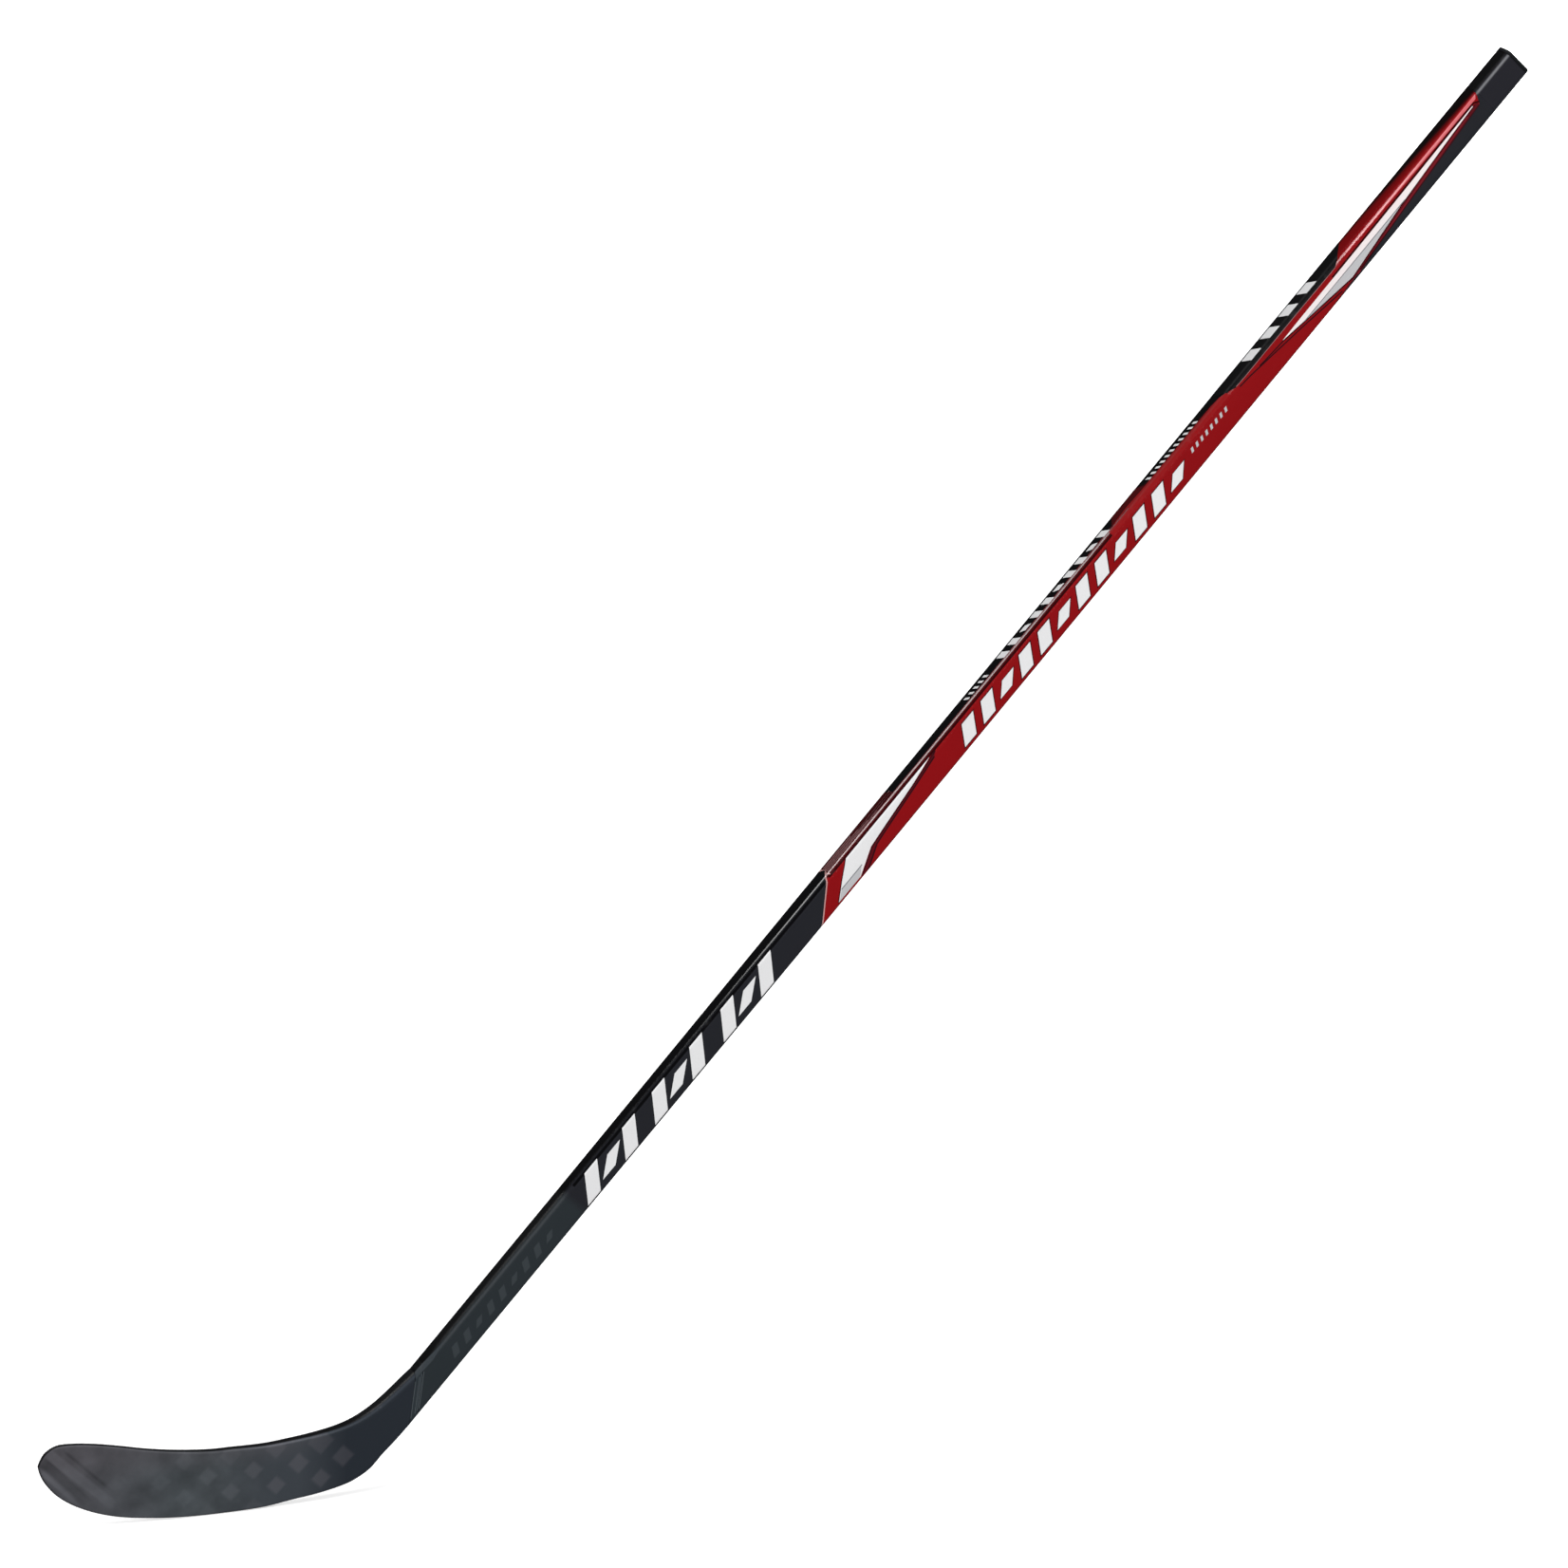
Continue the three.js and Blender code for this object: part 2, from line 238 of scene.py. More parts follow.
def buildWrapTree():
    tree, given, made = newGeometryTree("wrapOnShaft", shaftSockets)
    num = lambda value: Number(tree, value)
    position = add(tree, "GeometryNodeInputPosition").outputs[0]
    along, around, out = axes(tree, position)
    corner, width = num(given["Corner"]), num(given["Width"])
    taper = (along - num(given["Taper start"])) / (num(given["Taper end"]) - num(given["Taper start"]))
    lower = num(given["Lower depth"])
    half = (lower + (num(given["Grip depth"]) - lower) * taper.clamp(0, 1)) * 0.5
    arc = corner * (math.pi / 2)
    wide = width - corner * 2
    narrow = half * 2 - corner * 2
    back = around * -1
    # ends of the faces and corners, going round
    firstEdge = arc * 0.5
    secondCorner = firstEdge + wide
    lowerFace = secondCorner + arc
    thirdCorner = lowerFace + narrow
    forehandFace = thirdCorner + arc
    lastCorner = forehandFace + wide
    backCorner = firstEdge + narrow
    turned = around.clamp(firstEdge * -1, firstEdge)
    turned = turned + (around - secondCorner).clamp(0, arc) + (around - thirdCorner).clamp(0, arc)
    turned = turned + (around - lastCorner).clamp(0, arc) - (back - backCorner).clamp(0, arc)
    angle = turned / corner + math.pi / 4
    across = width - corner - (around - firstEdge).clamp(0, wide)
    across = across + (around - forehandFace).clamp(0, wide) - (back - backCorner - arc).clamp(0, wide)
    side = corner - half + (around - lowerFace).clamp(0, narrow) + (back - firstEdge).clamp(0, narrow)
    reach = corner + out
    across = across + reach * angle.cos()
    side = side - reach * angle.sin()
    lean = num(add(tree, "GeometryNodeInputNamedAttribute", {"Name": "lean"}, data_type="FLOAT").outputs[0])
    along = along + lean * (across - width * 0.5) * num(given["Slant"])
    place = given["Origin"]
    for axis, amount in (("Along", along), ("Across", across), ("Side", side)):
        step = scaled(tree, given[axis], amount)
        place = add(tree, "ShaderNodeVectorMath", {0: place, 1: step}).outputs[0]
    ridge = (angle * 2).sin().calc("ABSOLUTE")
    shape = given["Geometry"]
    for label, value, kind, domain in (
        ("flat", position, "FLOAT_VECTOR", "CORNER"),
        ("ridge", ridge, "FLOAT", "POINT"),
    ):
        inputs = {"Geometry": shape, "Name": label, "Value": value}
        kept = add(tree, "GeometryNodeStoreNamedAttribute", inputs, data_type=kind, domain=domain)
        shape = kept.outputs[0]
    laid = add(tree, "GeometryNodeSetPosition", {"Geometry": shape, "Position": place})
    whole = add(tree, "GeometryNodeRealizeInstances", {0: laid.outputs[0]})
    dressed = add(tree, "GeometryNodeSetMaterial", {0: whole.outputs[0], "Material": given["Material"]})
    plug(tree, made[0], dressed.outputs[0])
    return tree


wrapTree = buildWrapTree()


def nested(tree, given, child, geometry):
    node = add(tree, "GeometryNodeGroup", node_tree=child)
    feed(tree, node, {"Geometry": geometry, **{label: given[label] for label in shaftSockets}})
    return node.outputs[0]


# Flat faces become thin closed plates, let into the surface by Sink and standing proud by Lift
def addPlate(tree, geometry, sink, lift):
    up = combined(tree, Z=sink + lift)
    settings = {"Mesh": geometry, "Offset": up, "Offset Scale": 1.0, "Individual": False}
    raised = add(tree, "GeometryNodeExtrudeMesh", settings)
    under = add(tree, "GeometryNodeFlipFaces", {0: geometry})
    both = tree.nodes.new("GeometryNodeJoinGeometry")
    plug(tree, both.inputs[0], raised.outputs["Mesh"])
    plug(tree, both.inputs[0], under.outputs[0])
    closed = add(tree, "GeometryNodeMergeByDistance", {0: both.outputs[0], "Distance": plateMerge})
    down = combined(tree, Z=sink * -1)
    return add(tree, "GeometryNodeSetPosition", {"Geometry": closed.outputs[0], "Offset": down}).outputs[0]


def buildPaintTree():
    tree, given, made = newGeometryTree("paintOnShaft", {"Sink": "Float", "Lift": "Float", **shaftSockets})
    plate = addPlate(tree, given["Geometry"], Number(tree, given["Sink"]), Number(tree, given["Lift"]))
    plug(tree, made[0], nested(tree, given, wrapTree, plate))
    return tree


# a row of bars takes its sizes by the names they have in a look
barLengths = ("start", "pitch", "width", "height", "middle")


def buildBarTree():
    counts = ("count", "every")
    numbers = (*barLengths, "Sink", "Lift", "lean", "short")
    sockets = {**dict.fromkeys(counts, "Int"), **dict.fromkeys(numbers, "Float")}
    tree, given, made = newGeometryTree("slantedBars", {**sockets, **shaftSockets})
    num = lambda label: Number(tree, given[label])
    rows = (num("height") / (0.5 * mm)).calc("CEIL")  # one each half millimetre
    grid = {"Size X": given["width"], "Size Y": given["height"], "Vertices X": 2, "Vertices Y": rows}
    bar = add(tree, "GeometryNodeMeshGrid", grid)
    acrossBar = axes(tree, add(tree, "GeometryNodeInputPosition").outputs[0])[1]
    shear = combined(tree, X=acrossBar * num("lean"))
    bar = add(tree, "GeometryNodeSetPosition", {"Geometry": bar.outputs["Mesh"], "Offset": shear}).outputs[0]
    first = combined(tree, X=given["start"], Y=given["middle"])
    run = {"Count": given["count"], "Start Location": first, "Offset": combined(tree, X=given["pitch"])}
    line = add(tree, "GeometryNodeMeshLine", run)
    index = Number(tree, add(tree, "GeometryNodeInputIndex").outputs[0])
    isShort = (index + 1).calc("MODULO", given["every"]).calc("LESS_THAN", 0.5)
    shrink = isShort * (num("short") - 1) + 1
    size = combined(tree, X=1.0, Y=shrink, Z=1.0)
    spread = {"Points": line.outputs[0], "Instance": bar, "Scale": size}
    row = add(tree, "GeometryNodeInstanceOnPoints", spread)
    row = add(tree, "GeometryNodeRealizeInstances", {0: row.outputs[0]}).outputs[0]
    plate = addPlate(tree, row, num("Sink"), num("Lift"))
    plug(tree, made[0], nested(tree, given, wrapTree, plate))
    return tree


paintTree = buildPaintTree()
barTree = buildBarTree()
print("stage: node trees built")


def colour(code):
    parts = [int(code[i : i + 2], 16) / 255 for i in (1, 3, 5)]
    return [*(c / 12.92 if c <= 0.04045 else ((c + 0.055) / 1.055) ** 2.4 for c in parts), 1]


def buildWeaveGroup():
    sockets = {"Vector": "Vector", "Pitch": "Float"}
    tree, given, made = newTree("clothWeave", "ShaderNodeTree", sockets, {"Height": "Float"})
    warp, weft = [(part / given["Pitch"] * math.pi).sin() for part in axes(tree, given["Vector"])[:2]]
    over = (warp * weft).calc("GREATER_THAN", 0.0)
    height = warp.calc("ABSOLUTE") * over + weft.calc("ABSOLUTE") * (over * -1 + 1)
    plug(tree, made["Height"], height)
    return tree


weaveGroup = buildWeaveGroup()


def mixColours(tree, factor, first, second):
    mix = tree.nodes.new("ShaderNodeMix")
    mix.data_type = "RGBA"
    # the sockets share names, so they are taken by place: factor, then the two colours
    for place, value in zip((0, 6, 7), (factor, first, second)):
        plug(tree, mix.inputs[place], value)
    return mix.outputs[2]


def noise(tree, place, scale, detail):
    settings = {"Vector": place, "Scale": scale, "Detail": detail}
    return Number(tree, add(tree, "ShaderNodeTexNoise", settings).outputs["Fac"])


def mask(tree, label):
    return Number(tree, add(tree, "ShaderNodeAttribute", attribute_name=label).outputs["Fac"])


# what a finish has unless its own look says otherwise
plainLook = {
    "mottle": 0.12,
    "cloudScale": 14,
    "speckle": 0.08,
    "grainScale": 900,
    "roughMottle": 0.05,
    "roughSpeckle": 0.04,
    "wear": 0.15,
    "wornColour": "#8c8c8c",
    "wornRough": 0.5,
    "rubScale": 120.0,
    "rubRange": (0.6, 0.72),
    "ridgeRange": (0.5, 1.0),
    "shine": 0.4,
    "coat": 0.0,
    "coatRough": 0.12,
    "onFlat": True,
    "weave": 0.3,
    "weavePitch": 2.4,
    "grain": 0.5,
    "bump": 0.15,
}


def makeFinish(name, ownLook, recolour=None, roughen=None):
    look = {**plainLook, **ownLook}
    material = bpy.data.materials.new(name)
    material.use_nodes = True
    tree = material.node_tree
    shader = tree.nodes["Principled BSDF"]
    place = add(tree, "ShaderNodeTexCoord").outputs["Object"]
    flat = add(tree, "ShaderNodeAttribute", attribute_name="flat").outputs["Vector"]
    cloud = noise(tree, place, look["cloudScale"], 3.0) - 0.5
    grain = noise(tree, place, look["grainScale"], 2.0)
    speck = grain - 0.5
    base = colour(look["colour"])
    if recolour:
        base = recolour(tree, base, flat)
    tone = cloud * look["mottle"] + speck * look["speckle"] + 1
    toned = scaled(tree, base if isinstance(base, bpy.types.NodeSocket) else base[:3], tone)
    # scuffs where the corners rub
    rub = noise(tree, place, look["rubScale"], 5.0).ramp(*look["rubRange"])
    wearAndHighlight = rub * mask(tree, "ridge").ramp(*look["ridgeRange"]) * look["wear"]
    level = roughen(tree, flat) if roughen else look["rough"]
    rough = cloud * look["roughMottle"] + speck * look["roughSpeckle"] + wearAndHighlight * look["wornRough"] + level
    weave = add(tree, "ShaderNodeGroup", node_tree=weaveGroup)
    feed(tree, weave, {"Vector": flat if look["onFlat"] else place, "Pitch": look["weavePitch"] * mm})
    relief = Number(tree, weave.outputs["Height"]) * look["weave"] + grain * look["grain"]
    bump = {"Strength": look["bump"], "Distance": 0.1 * mm, "Height": relief}
    shown = {
        "Base Color": mixColours(tree, wearAndHighlight, toned, colour(look["wornColour"])),
        "Roughness": rough.clamp(0.05, 1),
        "Specular IOR Level": look["shine"],
        "Coat Weight": look["coat"],
        "Coat Roughness": look["coatRough"],
        "Normal": add(tree, "ShaderNodeBump", bump).outputs[0],
    }
    feed(tree, shader, shown)
    return material


shaftLook = {
    "colour": "#25262b",
    "buttColour": "#26262c",
    "lowerColour": "#2c3236",
    # painted highlight on the upper front corner, by the butt and on the lower shaft
    "cornerHighlightColour": "#76777b",
    "cornerHighlightMiddle": 1.1,
    "cornerHighlightRange": (1.7, 0.2),
    "buttCornerHighlight": 0.8,
    "lowerCornerHighlight": 0.14,
    "rough": 0.14,
    "buttRough": 0.3,
    "lowerRough": 0.36,
    "coatRough": 0.1,
    "bump": 0.1,
    "shine": 0.35,
    "coat": 0.25,
    "buttFrom": 1479,
    "lowerUpTo": 300,
    "wear": 0.05,
    "weave": 0.25,
}


# painted shade: the faces that look up and down are darkened, in place of the weaker light they get
narrowPaintedShade = {"colour": "#050506", "strength": 0.92, "facing": (0.75, 0.35)}


def paintNarrowShade(tree, shown):
    facing = axes(tree, add(tree, "ShaderNodeTexCoord").outputs["Normal"])[1]
    # painted shade: strongest where the surface faces up or down, none where it faces sideways
    narrow = facing.calc("ABSOLUTE").ramp(*narrowPaintedShade["facing"]) * narrowPaintedShade["strength"]
    return mixColours(tree, narrow, shown, colour(narrowPaintedShade["colour"]))


def flatSpot(tree, flat):  # place on the flat drawing, in mm
    return [part / mm for part in axes(tree, flat)[:2]]


def shaftEnds(along):  # 1 by the butt, and 1 on the lower shaft
    start, low = shaftLook["buttFrom"], shaftLook["lowerUpTo"]
    return along.ramp(start - 2, start + 2), along.ramp(low + 4, low - 4)


def shaftZones(tree, base, flat):
    along, around = flatSpot(tree, flat)
    butt, lower = shaftEnds(along)
    shown = mixColours(tree, butt, base, colour(shaftLook["buttColour"]))
    shown = mixColours(tree, lower, shown, colour(shaftLook["lowerColour"]))
    # painted shade on the faces that look up and down
    shown = paintNarrowShade(tree, shown)
    # painted highlight: the upper front corner is made pale by the butt and a little on the lower shaft
    # below the graphics
    line = (around - shaftLook["cornerHighlightMiddle"]).calc("ABSOLUTE").ramp(*shaftLook["cornerHighlightRange"])
    wearAndHighlight = line * (butt * shaftLook["buttCornerHighlight"] + lower * shaftLook["lowerCornerHighlight"])
    return mixColours(tree, wearAndHighlight, shown, colour(shaftLook["cornerHighlightColour"]))


def shaftRoughness(tree, flat):
    butt, lower = shaftEnds(flatSpot(tree, flat)[0])
    plain = shaftLook["rough"]
    level = butt * (shaftLook["buttRough"] - plain) + lower * (shaftLook["lowerRough"] - plain)
    return level + plain


gloss = {"rough": 0.13, "shine": 0.35, "coat": 0.3, "coatRough": 0.08, "bump": 0.08}
fadeLook = {
    **gloss,
    "colour": "#78060a",
    "dark": "#0b0506",
    "wear": 0.03,
    "soft": 7.0,
    "start": 1479,
    "rise": 13 / 159,
}


def narrowFade(tree, base, flat):
    along, around = flatSpot(tree, flat)
    limit = (along - fadeLook["start"]) * fadeLook["rise"]  # the red stops sooner near the butt
    red = (around - limit).ramp(-fadeLook["soft"] / 2, fadeLook["soft"] / 2)
    return mixColours(tree, red, colour(fadeLook["dark"]), base)


shaftFinish = makeFinish("shaftFinish", shaftLook, shaftZones, shaftRoughness)
fadeFinish = makeFinish("fadeRed", fadeLook, narrowFade)
paintLooks = {
    "red": {"colour": "#8e0f14", "mottle": 0.16},
    "deepRed": {"colour": "#4a0a0d"},
    "maroon": {"colour": "#360c14"},
    "rose": {"colour": "#7c1c26"},
    "white": {"colour": "#ececed", "wornColour": "#b0b0b0", "mottle": 0.06},
    "pale": {"colour": "#c2c2c5", "mottle": 0.06},
    "pink": {"colour": "#c49694", "mottle": 0.06},
    "roseGrey": {"colour": "#8c6466"},
    "wine": {"colour": "#5e1019"},
    "brightRed": {"colour": "#8c1218"},
    # colour of the painted highlight on the corner near the butt
    "rosyRed": {"colour": "#cc6065"},
    "satinRed": {"colour": "#8a0b10", "rough": 0.5, "shine": 0.15, "coat": 0.0},
    "duskLine": {"colour": "#866061"},
    "darkLine": {"colour": "#2e0608", "shine": 0.1, "coat": 0.0},
    "blackLine": {"colour": "#0b0b0d", "shine": 0.1, "coat": 0.0},
    "panelBlack": {"colour": "#0b0b0d", "rough": 0.4, "shine": 0.15, "coat": 0.0},
    "warmWhite": {"colour": "#f6ecec", "mottle": 0.05},
    "duskRose": {"colour": "#3e0a0d"},
    "edgeGrey": {"colour": "#4f565b", "rough": 0.36},
    "cornerGrey": {"colour": "#3a4045", "rough": 0.36},
    "grey": {"colour": "#77787d"},
    "ghost": {"colour": "#3b4145", "rough": 0.36, "coat": 0.2},
}
paints = {}
for label, look in paintLooks.items():
    paints[label] = makeFinish(
        "paint" + label[0].upper() + label[1:], {**gloss, "wear": 0.04, "weave": 0.1, **look}
    )
capLook = {"colour": "#17181b", "rough": 0.6, "shine": 0.3, "bump": 0.3, "weave": 0.0, "wear": 0.3}
bandLook = {"colour": "#30373c", "rough": 0.4, "bump": 0.25, "weavePitch": 1.6, "wear": 0.1}
capFinish = makeFinish("capFinish", capLook)
# the band also gets the painted shade on its faces that look up and down
bandFinish = makeFinish("bandFinish", bandLook, lambda tree, base, flat: paintNarrowShade(tree, base))
print("stage: materials built")


def halfDepth(along):
    share = min(max((along - stick["taperStart"]) / (stick["taperEnd"] - stick["taperStart"]), 0), 1)
    return (stick["lowerDepth"] + (stick["gripDepth"] - stick["lowerDepth"]) * share) / 2


def aroundSamples(along, cornerCells=12, wideCells=8, narrowCells=6):
    arc = stick["corner"] * math.pi / 2
    wide = stick["width"] - 2 * stick["corner"]
    narrow = 2 * (halfDepth(along) - stick["corner"])
    halfWide, corner, side = (wide / 2, wideCells // 2), (arc, cornerCells), (narrow, narrowCells)
    parts = [halfWide, corner, side, corner, (wide, wideCells), corner, side, corner, halfWide]
    spots = [-(wide / 2 + arc + narrow + arc / 2)]
    for length, cells in parts:
        spots += [spots[-1] + length * (i + 1) / cells for i in range(cells)]
    return spots


def flatTube(name, rings, closed):  # rings of (along, out, lean) in mm
    verts, faces, leans = [], [], []
    for along, out, lean in rings:
        for around in aroundSamples(along):
            verts.append((along * mm, around * mm, out * mm))
            leans.append(lean)
    count = len(verts) // len(rings)
    last = len(rings) if closed else len(rings) - 1
    for i in range(last):
        for j in range(count - 1):
            low, high = i * count + j, (i + 1) % len(rings) * count + j
            faces.append((low, low + 1, high + 1, high))
    mesh = bpy.data.meshes.new(name)
    mesh.from_pydata(verts, [], faces)
    mesh.attributes.new("lean", "FLOAT", "POINT").data.foreach_set("value", leans)
    return mesh


# a tube that isn't closed is a solid, so its ends are filled
def makeTube(name, rings, closed, material, slot, *replaced):
    piece = bake(name, flatTube(name, rings, closed), wrapTree, shaftValues(material))
    return finishPiece(piece, slot, *replaced, fillEnds=not closed)


capSize = {
    "insert": 42,
    "flange": 3,
    "fit": 2.2,
    "edge": 0.8,
    "lead": 3,
    "taper": 1,
    "bevel": 0.2,
    "rim": 2.2,
    "dish": 0.4,
}
end = stick["length"]
tubeEnd = end - capSize["flange"] - joint["gap"]
lowEnd = joint["along"] + joint["gap"] / 2
stepAt = joint["along"] + joint["reach"]
wall = stick["wall"]
rimEdge = 0.3  # chamfer at the open end
# rings are (along, out, lean); lean 1 follows the slanted joint
outerRings = [
    (lowEnd, -joint["recess"], 1),
    (stepAt, -joint["recess"], 1),
    (stepAt, -joint["edge"], 1),
    (stepAt + joint["edge"], 0, 1),
    (130, 0, 0.9),
    (200, 0, 0.5),
    (stick["taperStart"], 0, 0),
    *((a, 0, 0) for a in range(stick["taperStart"] + 40, stick["taperEnd"], 40)),
    *((a, 0, 0) for a in range(stick["taperEnd"], 1520, 46)),
    (tubeEnd - rimEdge, 0, 0),
    (tubeEnd, -rimEdge, 0),
]
innerRings = [(a, -wall, 0) for a in (tubeEnd, stick["taperEnd"], stick["taperStart"])]
innerRings.append((lowEnd, -wall, 1))
makeTube("shaft_body", outerRings + innerRings, True, shaftFinish, "shaft_finish", "shaft_tube")

capRings = [
    (tubeEnd - capSize["insert"], -capSize["fit"] - capSize["taper"], 0),
    (tubeEnd - capSize["insert"] + capSize["lead"], -capSize["fit"], 0),
    (end - capSize["flange"], -capSize["fit"], 0),
    (end - capSize["flange"], -capSize["bevel"], 0),
    (end - capSize["flange"] + capSize["bevel"], 0, 0),
    *(
        (end - capSize["edge"] * (1 - math.sin(t)), -capSize["edge"] * (1 - math.cos(t)), 0)
        for t in (i * math.pi / 12 for i in range(7))
    ),
    (end, -capSize["rim"], 0),
    (end - capSize["dish"], -capSize["rim"] - capSize["dish"], 0),
]
makeTube("butt_cap", capRings, False, capFinish, "plug", "butt_end_plug")

# the band has a shallow groove along its middle, where shaft and neck meet
bandSize = {"edge": 0.15, "groove": 0.35, "under": 0.55, "reach": joint["reach"] - joint["gap"]}
bandHalf = [
    (-bandSize["reach"], -bandSize["under"]),
    (-bandSize["reach"], -bandSize["edge"]),
    (-bandSize["reach"] + bandSize["edge"], 0),
    (-bandSize["groove"], 0),
    (-bandSize["edge"], -bandSize["edge"]),
]
bandRings = [(joint["along"] + along, out, 1) for along, out in bandHalf]
bandRings += [(joint["along"] - along, out, 1) for along, out in bandHalf[::-1]]
makeTube("joint_band", bandRings, True, bandFinish, "wrap", "joint_overwrap")
print("stage: shaft built")


arcHalf = stick["corner"] * math.pi / 4
cornerStarts = (-arcHalf, stick["width"] - 2 * stick["corner"] + arcHalf)
cornerCuts = [start + 2 * arcHalf * i / 12 for start in cornerStarts for i in range(13)]
farCorner = -arcHalf - 2 * (stick["gripDepth"] / 2 - stick["corner"])
narrowCuts = [farCorner - 2 * arcHalf * i / 12 for i in range(13)]
# how far paint is let into the surface and each layer stands proud, in mm
paintSink = 0.15
layers = {"base": 0.05, "fill": 0.065, "line": 0.08, "mark": 0.11, "shade": 0.14}


def flatPlates(name, outlines):  # outlines are lists of (along, around) in mm
    shape = bmesh.new()
    for outline in outlines:
        shape.faces.new([shape.verts.new((a * mm, q * mm, 0)) for a, q in outline])
    bmesh.ops.triangulate(shape, faces=shape.faces)
    cuts = [(Vector((0, q * mm, 0)), Vector((0, 1, 0))) for q in cornerCuts + narrowCuts]
    cuts += [(Vector((a * mm, 0, 0)), Vector((1, 0, 0))) for a in (stick["taperStart"], stick["taperEnd"])]
    for place, normal in cuts:
        parts = shape.verts[:] + shape.edges[:] + shape.faces[:]
        bmesh.ops.bisect_plane(shape, geom=parts, dist=cutDistance, plane_co=place, plane_no=normal)
    for face in shape.faces:
        if face.normal.z < 0:
            face.normal_flip()
    mesh = bpy.data.meshes.new(name)
    shape.to_mesh(mesh)
    shape.free()
    return mesh


# the wide faces mirror each other, and the upper narrow face has no mirror image
both, once = (1, -1), (1,)


def sideName(name, side, sides):
    return name if len(sides) == 1 else name + ("_backhand" if side == 1 else "_forehand")


def lay(name, mesh, tree, material, layer, side, values):
    values = {**shaftValues(material, side), "Sink": paintSink * mm, "Lift": layers[layer] * mm, **values}
    finishPiece(bake(name, mesh, tree, values), "shaft_finish")


def paint(name, paintName, layer, outlines, sides=both):
    material = paintName if isinstance(paintName, bpy.types.Material) else paints[paintName]
    for side in sides:
        label = sideName(name, side, sides)
        lay(label, flatPlates(label, outlines), paintTree, material, layer, side, {})


def bars(name, paintName, layer, look, sides=both):
    values = {"count": look["count"], "lean": look["lean"]}
    values.update({"every": look.get("every", 999), "short": look.get("short", 1.0)})
    values.update({label: look[label] * mm for label in barLengths})
    for side in sides:
        label = sideName(name, side, sides)
        lay(label, bpy.data.meshes.new(label), barTree, paints[paintName], layer, side, values)


def strip(line, wide):  # a narrow band that follows a line of (along, around) points
    points = [Vector(p) for p in line]
    left, right = [], []
    for i, point in enumerate(points):
        ahead = points[min(i + 1, len(points) - 1)] - points[max(i - 1, 0)]
        normal = Vector((-ahead.y, ahead.x)).normalized() * wide / 2
        left.append(tuple(point + normal))
        right.append(tuple(point - normal))
    return left + right[::-1]


under = 26.4  # middle of the lower corner, where the wide face's paint stops
far = -16.6  # middle of the far corner of the upper narrow face

# red field on the wide face, from its tip near the butt to the slanted cut
redWide = [
    (1479, 0), (1474, 9.8), (1300, 23.5), (1262, under), (604, under), (608, 23), (634, 2), (636, 0),
]
paint("field_red", "red", "base", [redWide])
paint("narrow_fade", fadeFinish, "base", [
    [(1479, 0.4), (1290, 0.4), (1300, -1), (1312, -13), (1314, far), (1479, far)],
], once)
paint("narrow_red", "deepRed", "base", [
    [(1155, 0.4), (636, 0.4), (638, -4), (860, -4.4), (1010, -5.5), (1018, far), (1044, far),
        (1054, -6.6), (1138, -6.0), (1150, -3)],
], once)
paint("narrow_red_bright", "satinRed", "line", [
    [(1154, 2.4), (1155, -1), (1148, -3.6), (1138, -4.8), (1050, -5.2), (1030, -6.4), (1015, -5.2),
        (1004, -2.8), (1004, 2.4)],
], once)
# painted shade: dark bands along the upper corner, in the red zone and in the black zone
paint("corner_line_red", "darkLine", "line", [strip([(1004, 0.9), (800, 0.8), (638, 0.8)], 1.6)])
paint("corner_line_black", "blackLine", "line", [strip([(633, 1.0), (450, 1.0), (310, 1.2)], 2.4)])
paint("narrow_end_field", "duskRose", "line", [
    [(726, -4.2), (720, far), (642, far), (640, -13), (641.5, -8), (640, -4.2)],
], once)
paint("narrow_end_lines", "duskLine", "mark", [
    strip([(first, level), (641, level)], wide)
    for first, level, wide in ((706, -4.6, 1.0), (695, -6.7, 1.1), (684, -9.0, 1.2), (676, -11.4, 1.3))
], once)
paint("ridge_red", "brightRed", "line", [
    [(1479, -0.9), (1400, -0.7), (1303, -0.3), (1292, 2.9), (1320, 2.8), (1400, 3.4), (1474, 3.6),
        (1478, 2.0)],
])
# painted highlight: a rosy line along the corner near the butt
paint("ridge_painted_highlight", "rosyRed", "mark", [
    [(1478, 0.3), (1400, 0.7), (1310, 1.1), (1304, 1.8), (1400, 2.9), (1475, 3.2)],
])
paint("black_panel", "panelBlack", "mark", [
    [(1312, far), (1312, -13), (1300, -1), (1292, 2.6), (1172, 2.6), (1163, 2.4), (1155, -1),
        (1145, -13), (1145, far)],
], once)

# first streak
streakTop = [(1469, 5.0), (1400, 6.1), (1340, 6.9), (1280, 7.5), (1240, 7.7), (1219, 8.1)]
streakLow = [
    (1219, 8.3), (1250, 13.5), (1280, 18.5), (1297, 21.2), (1368, 13.1), (1400, 10.7), (1440, 7.7),
    (1469, 5.9),
]
paint("streak_white", "warmWhite", "mark", [streakTop + streakLow])
print("stage: first graphics laid")

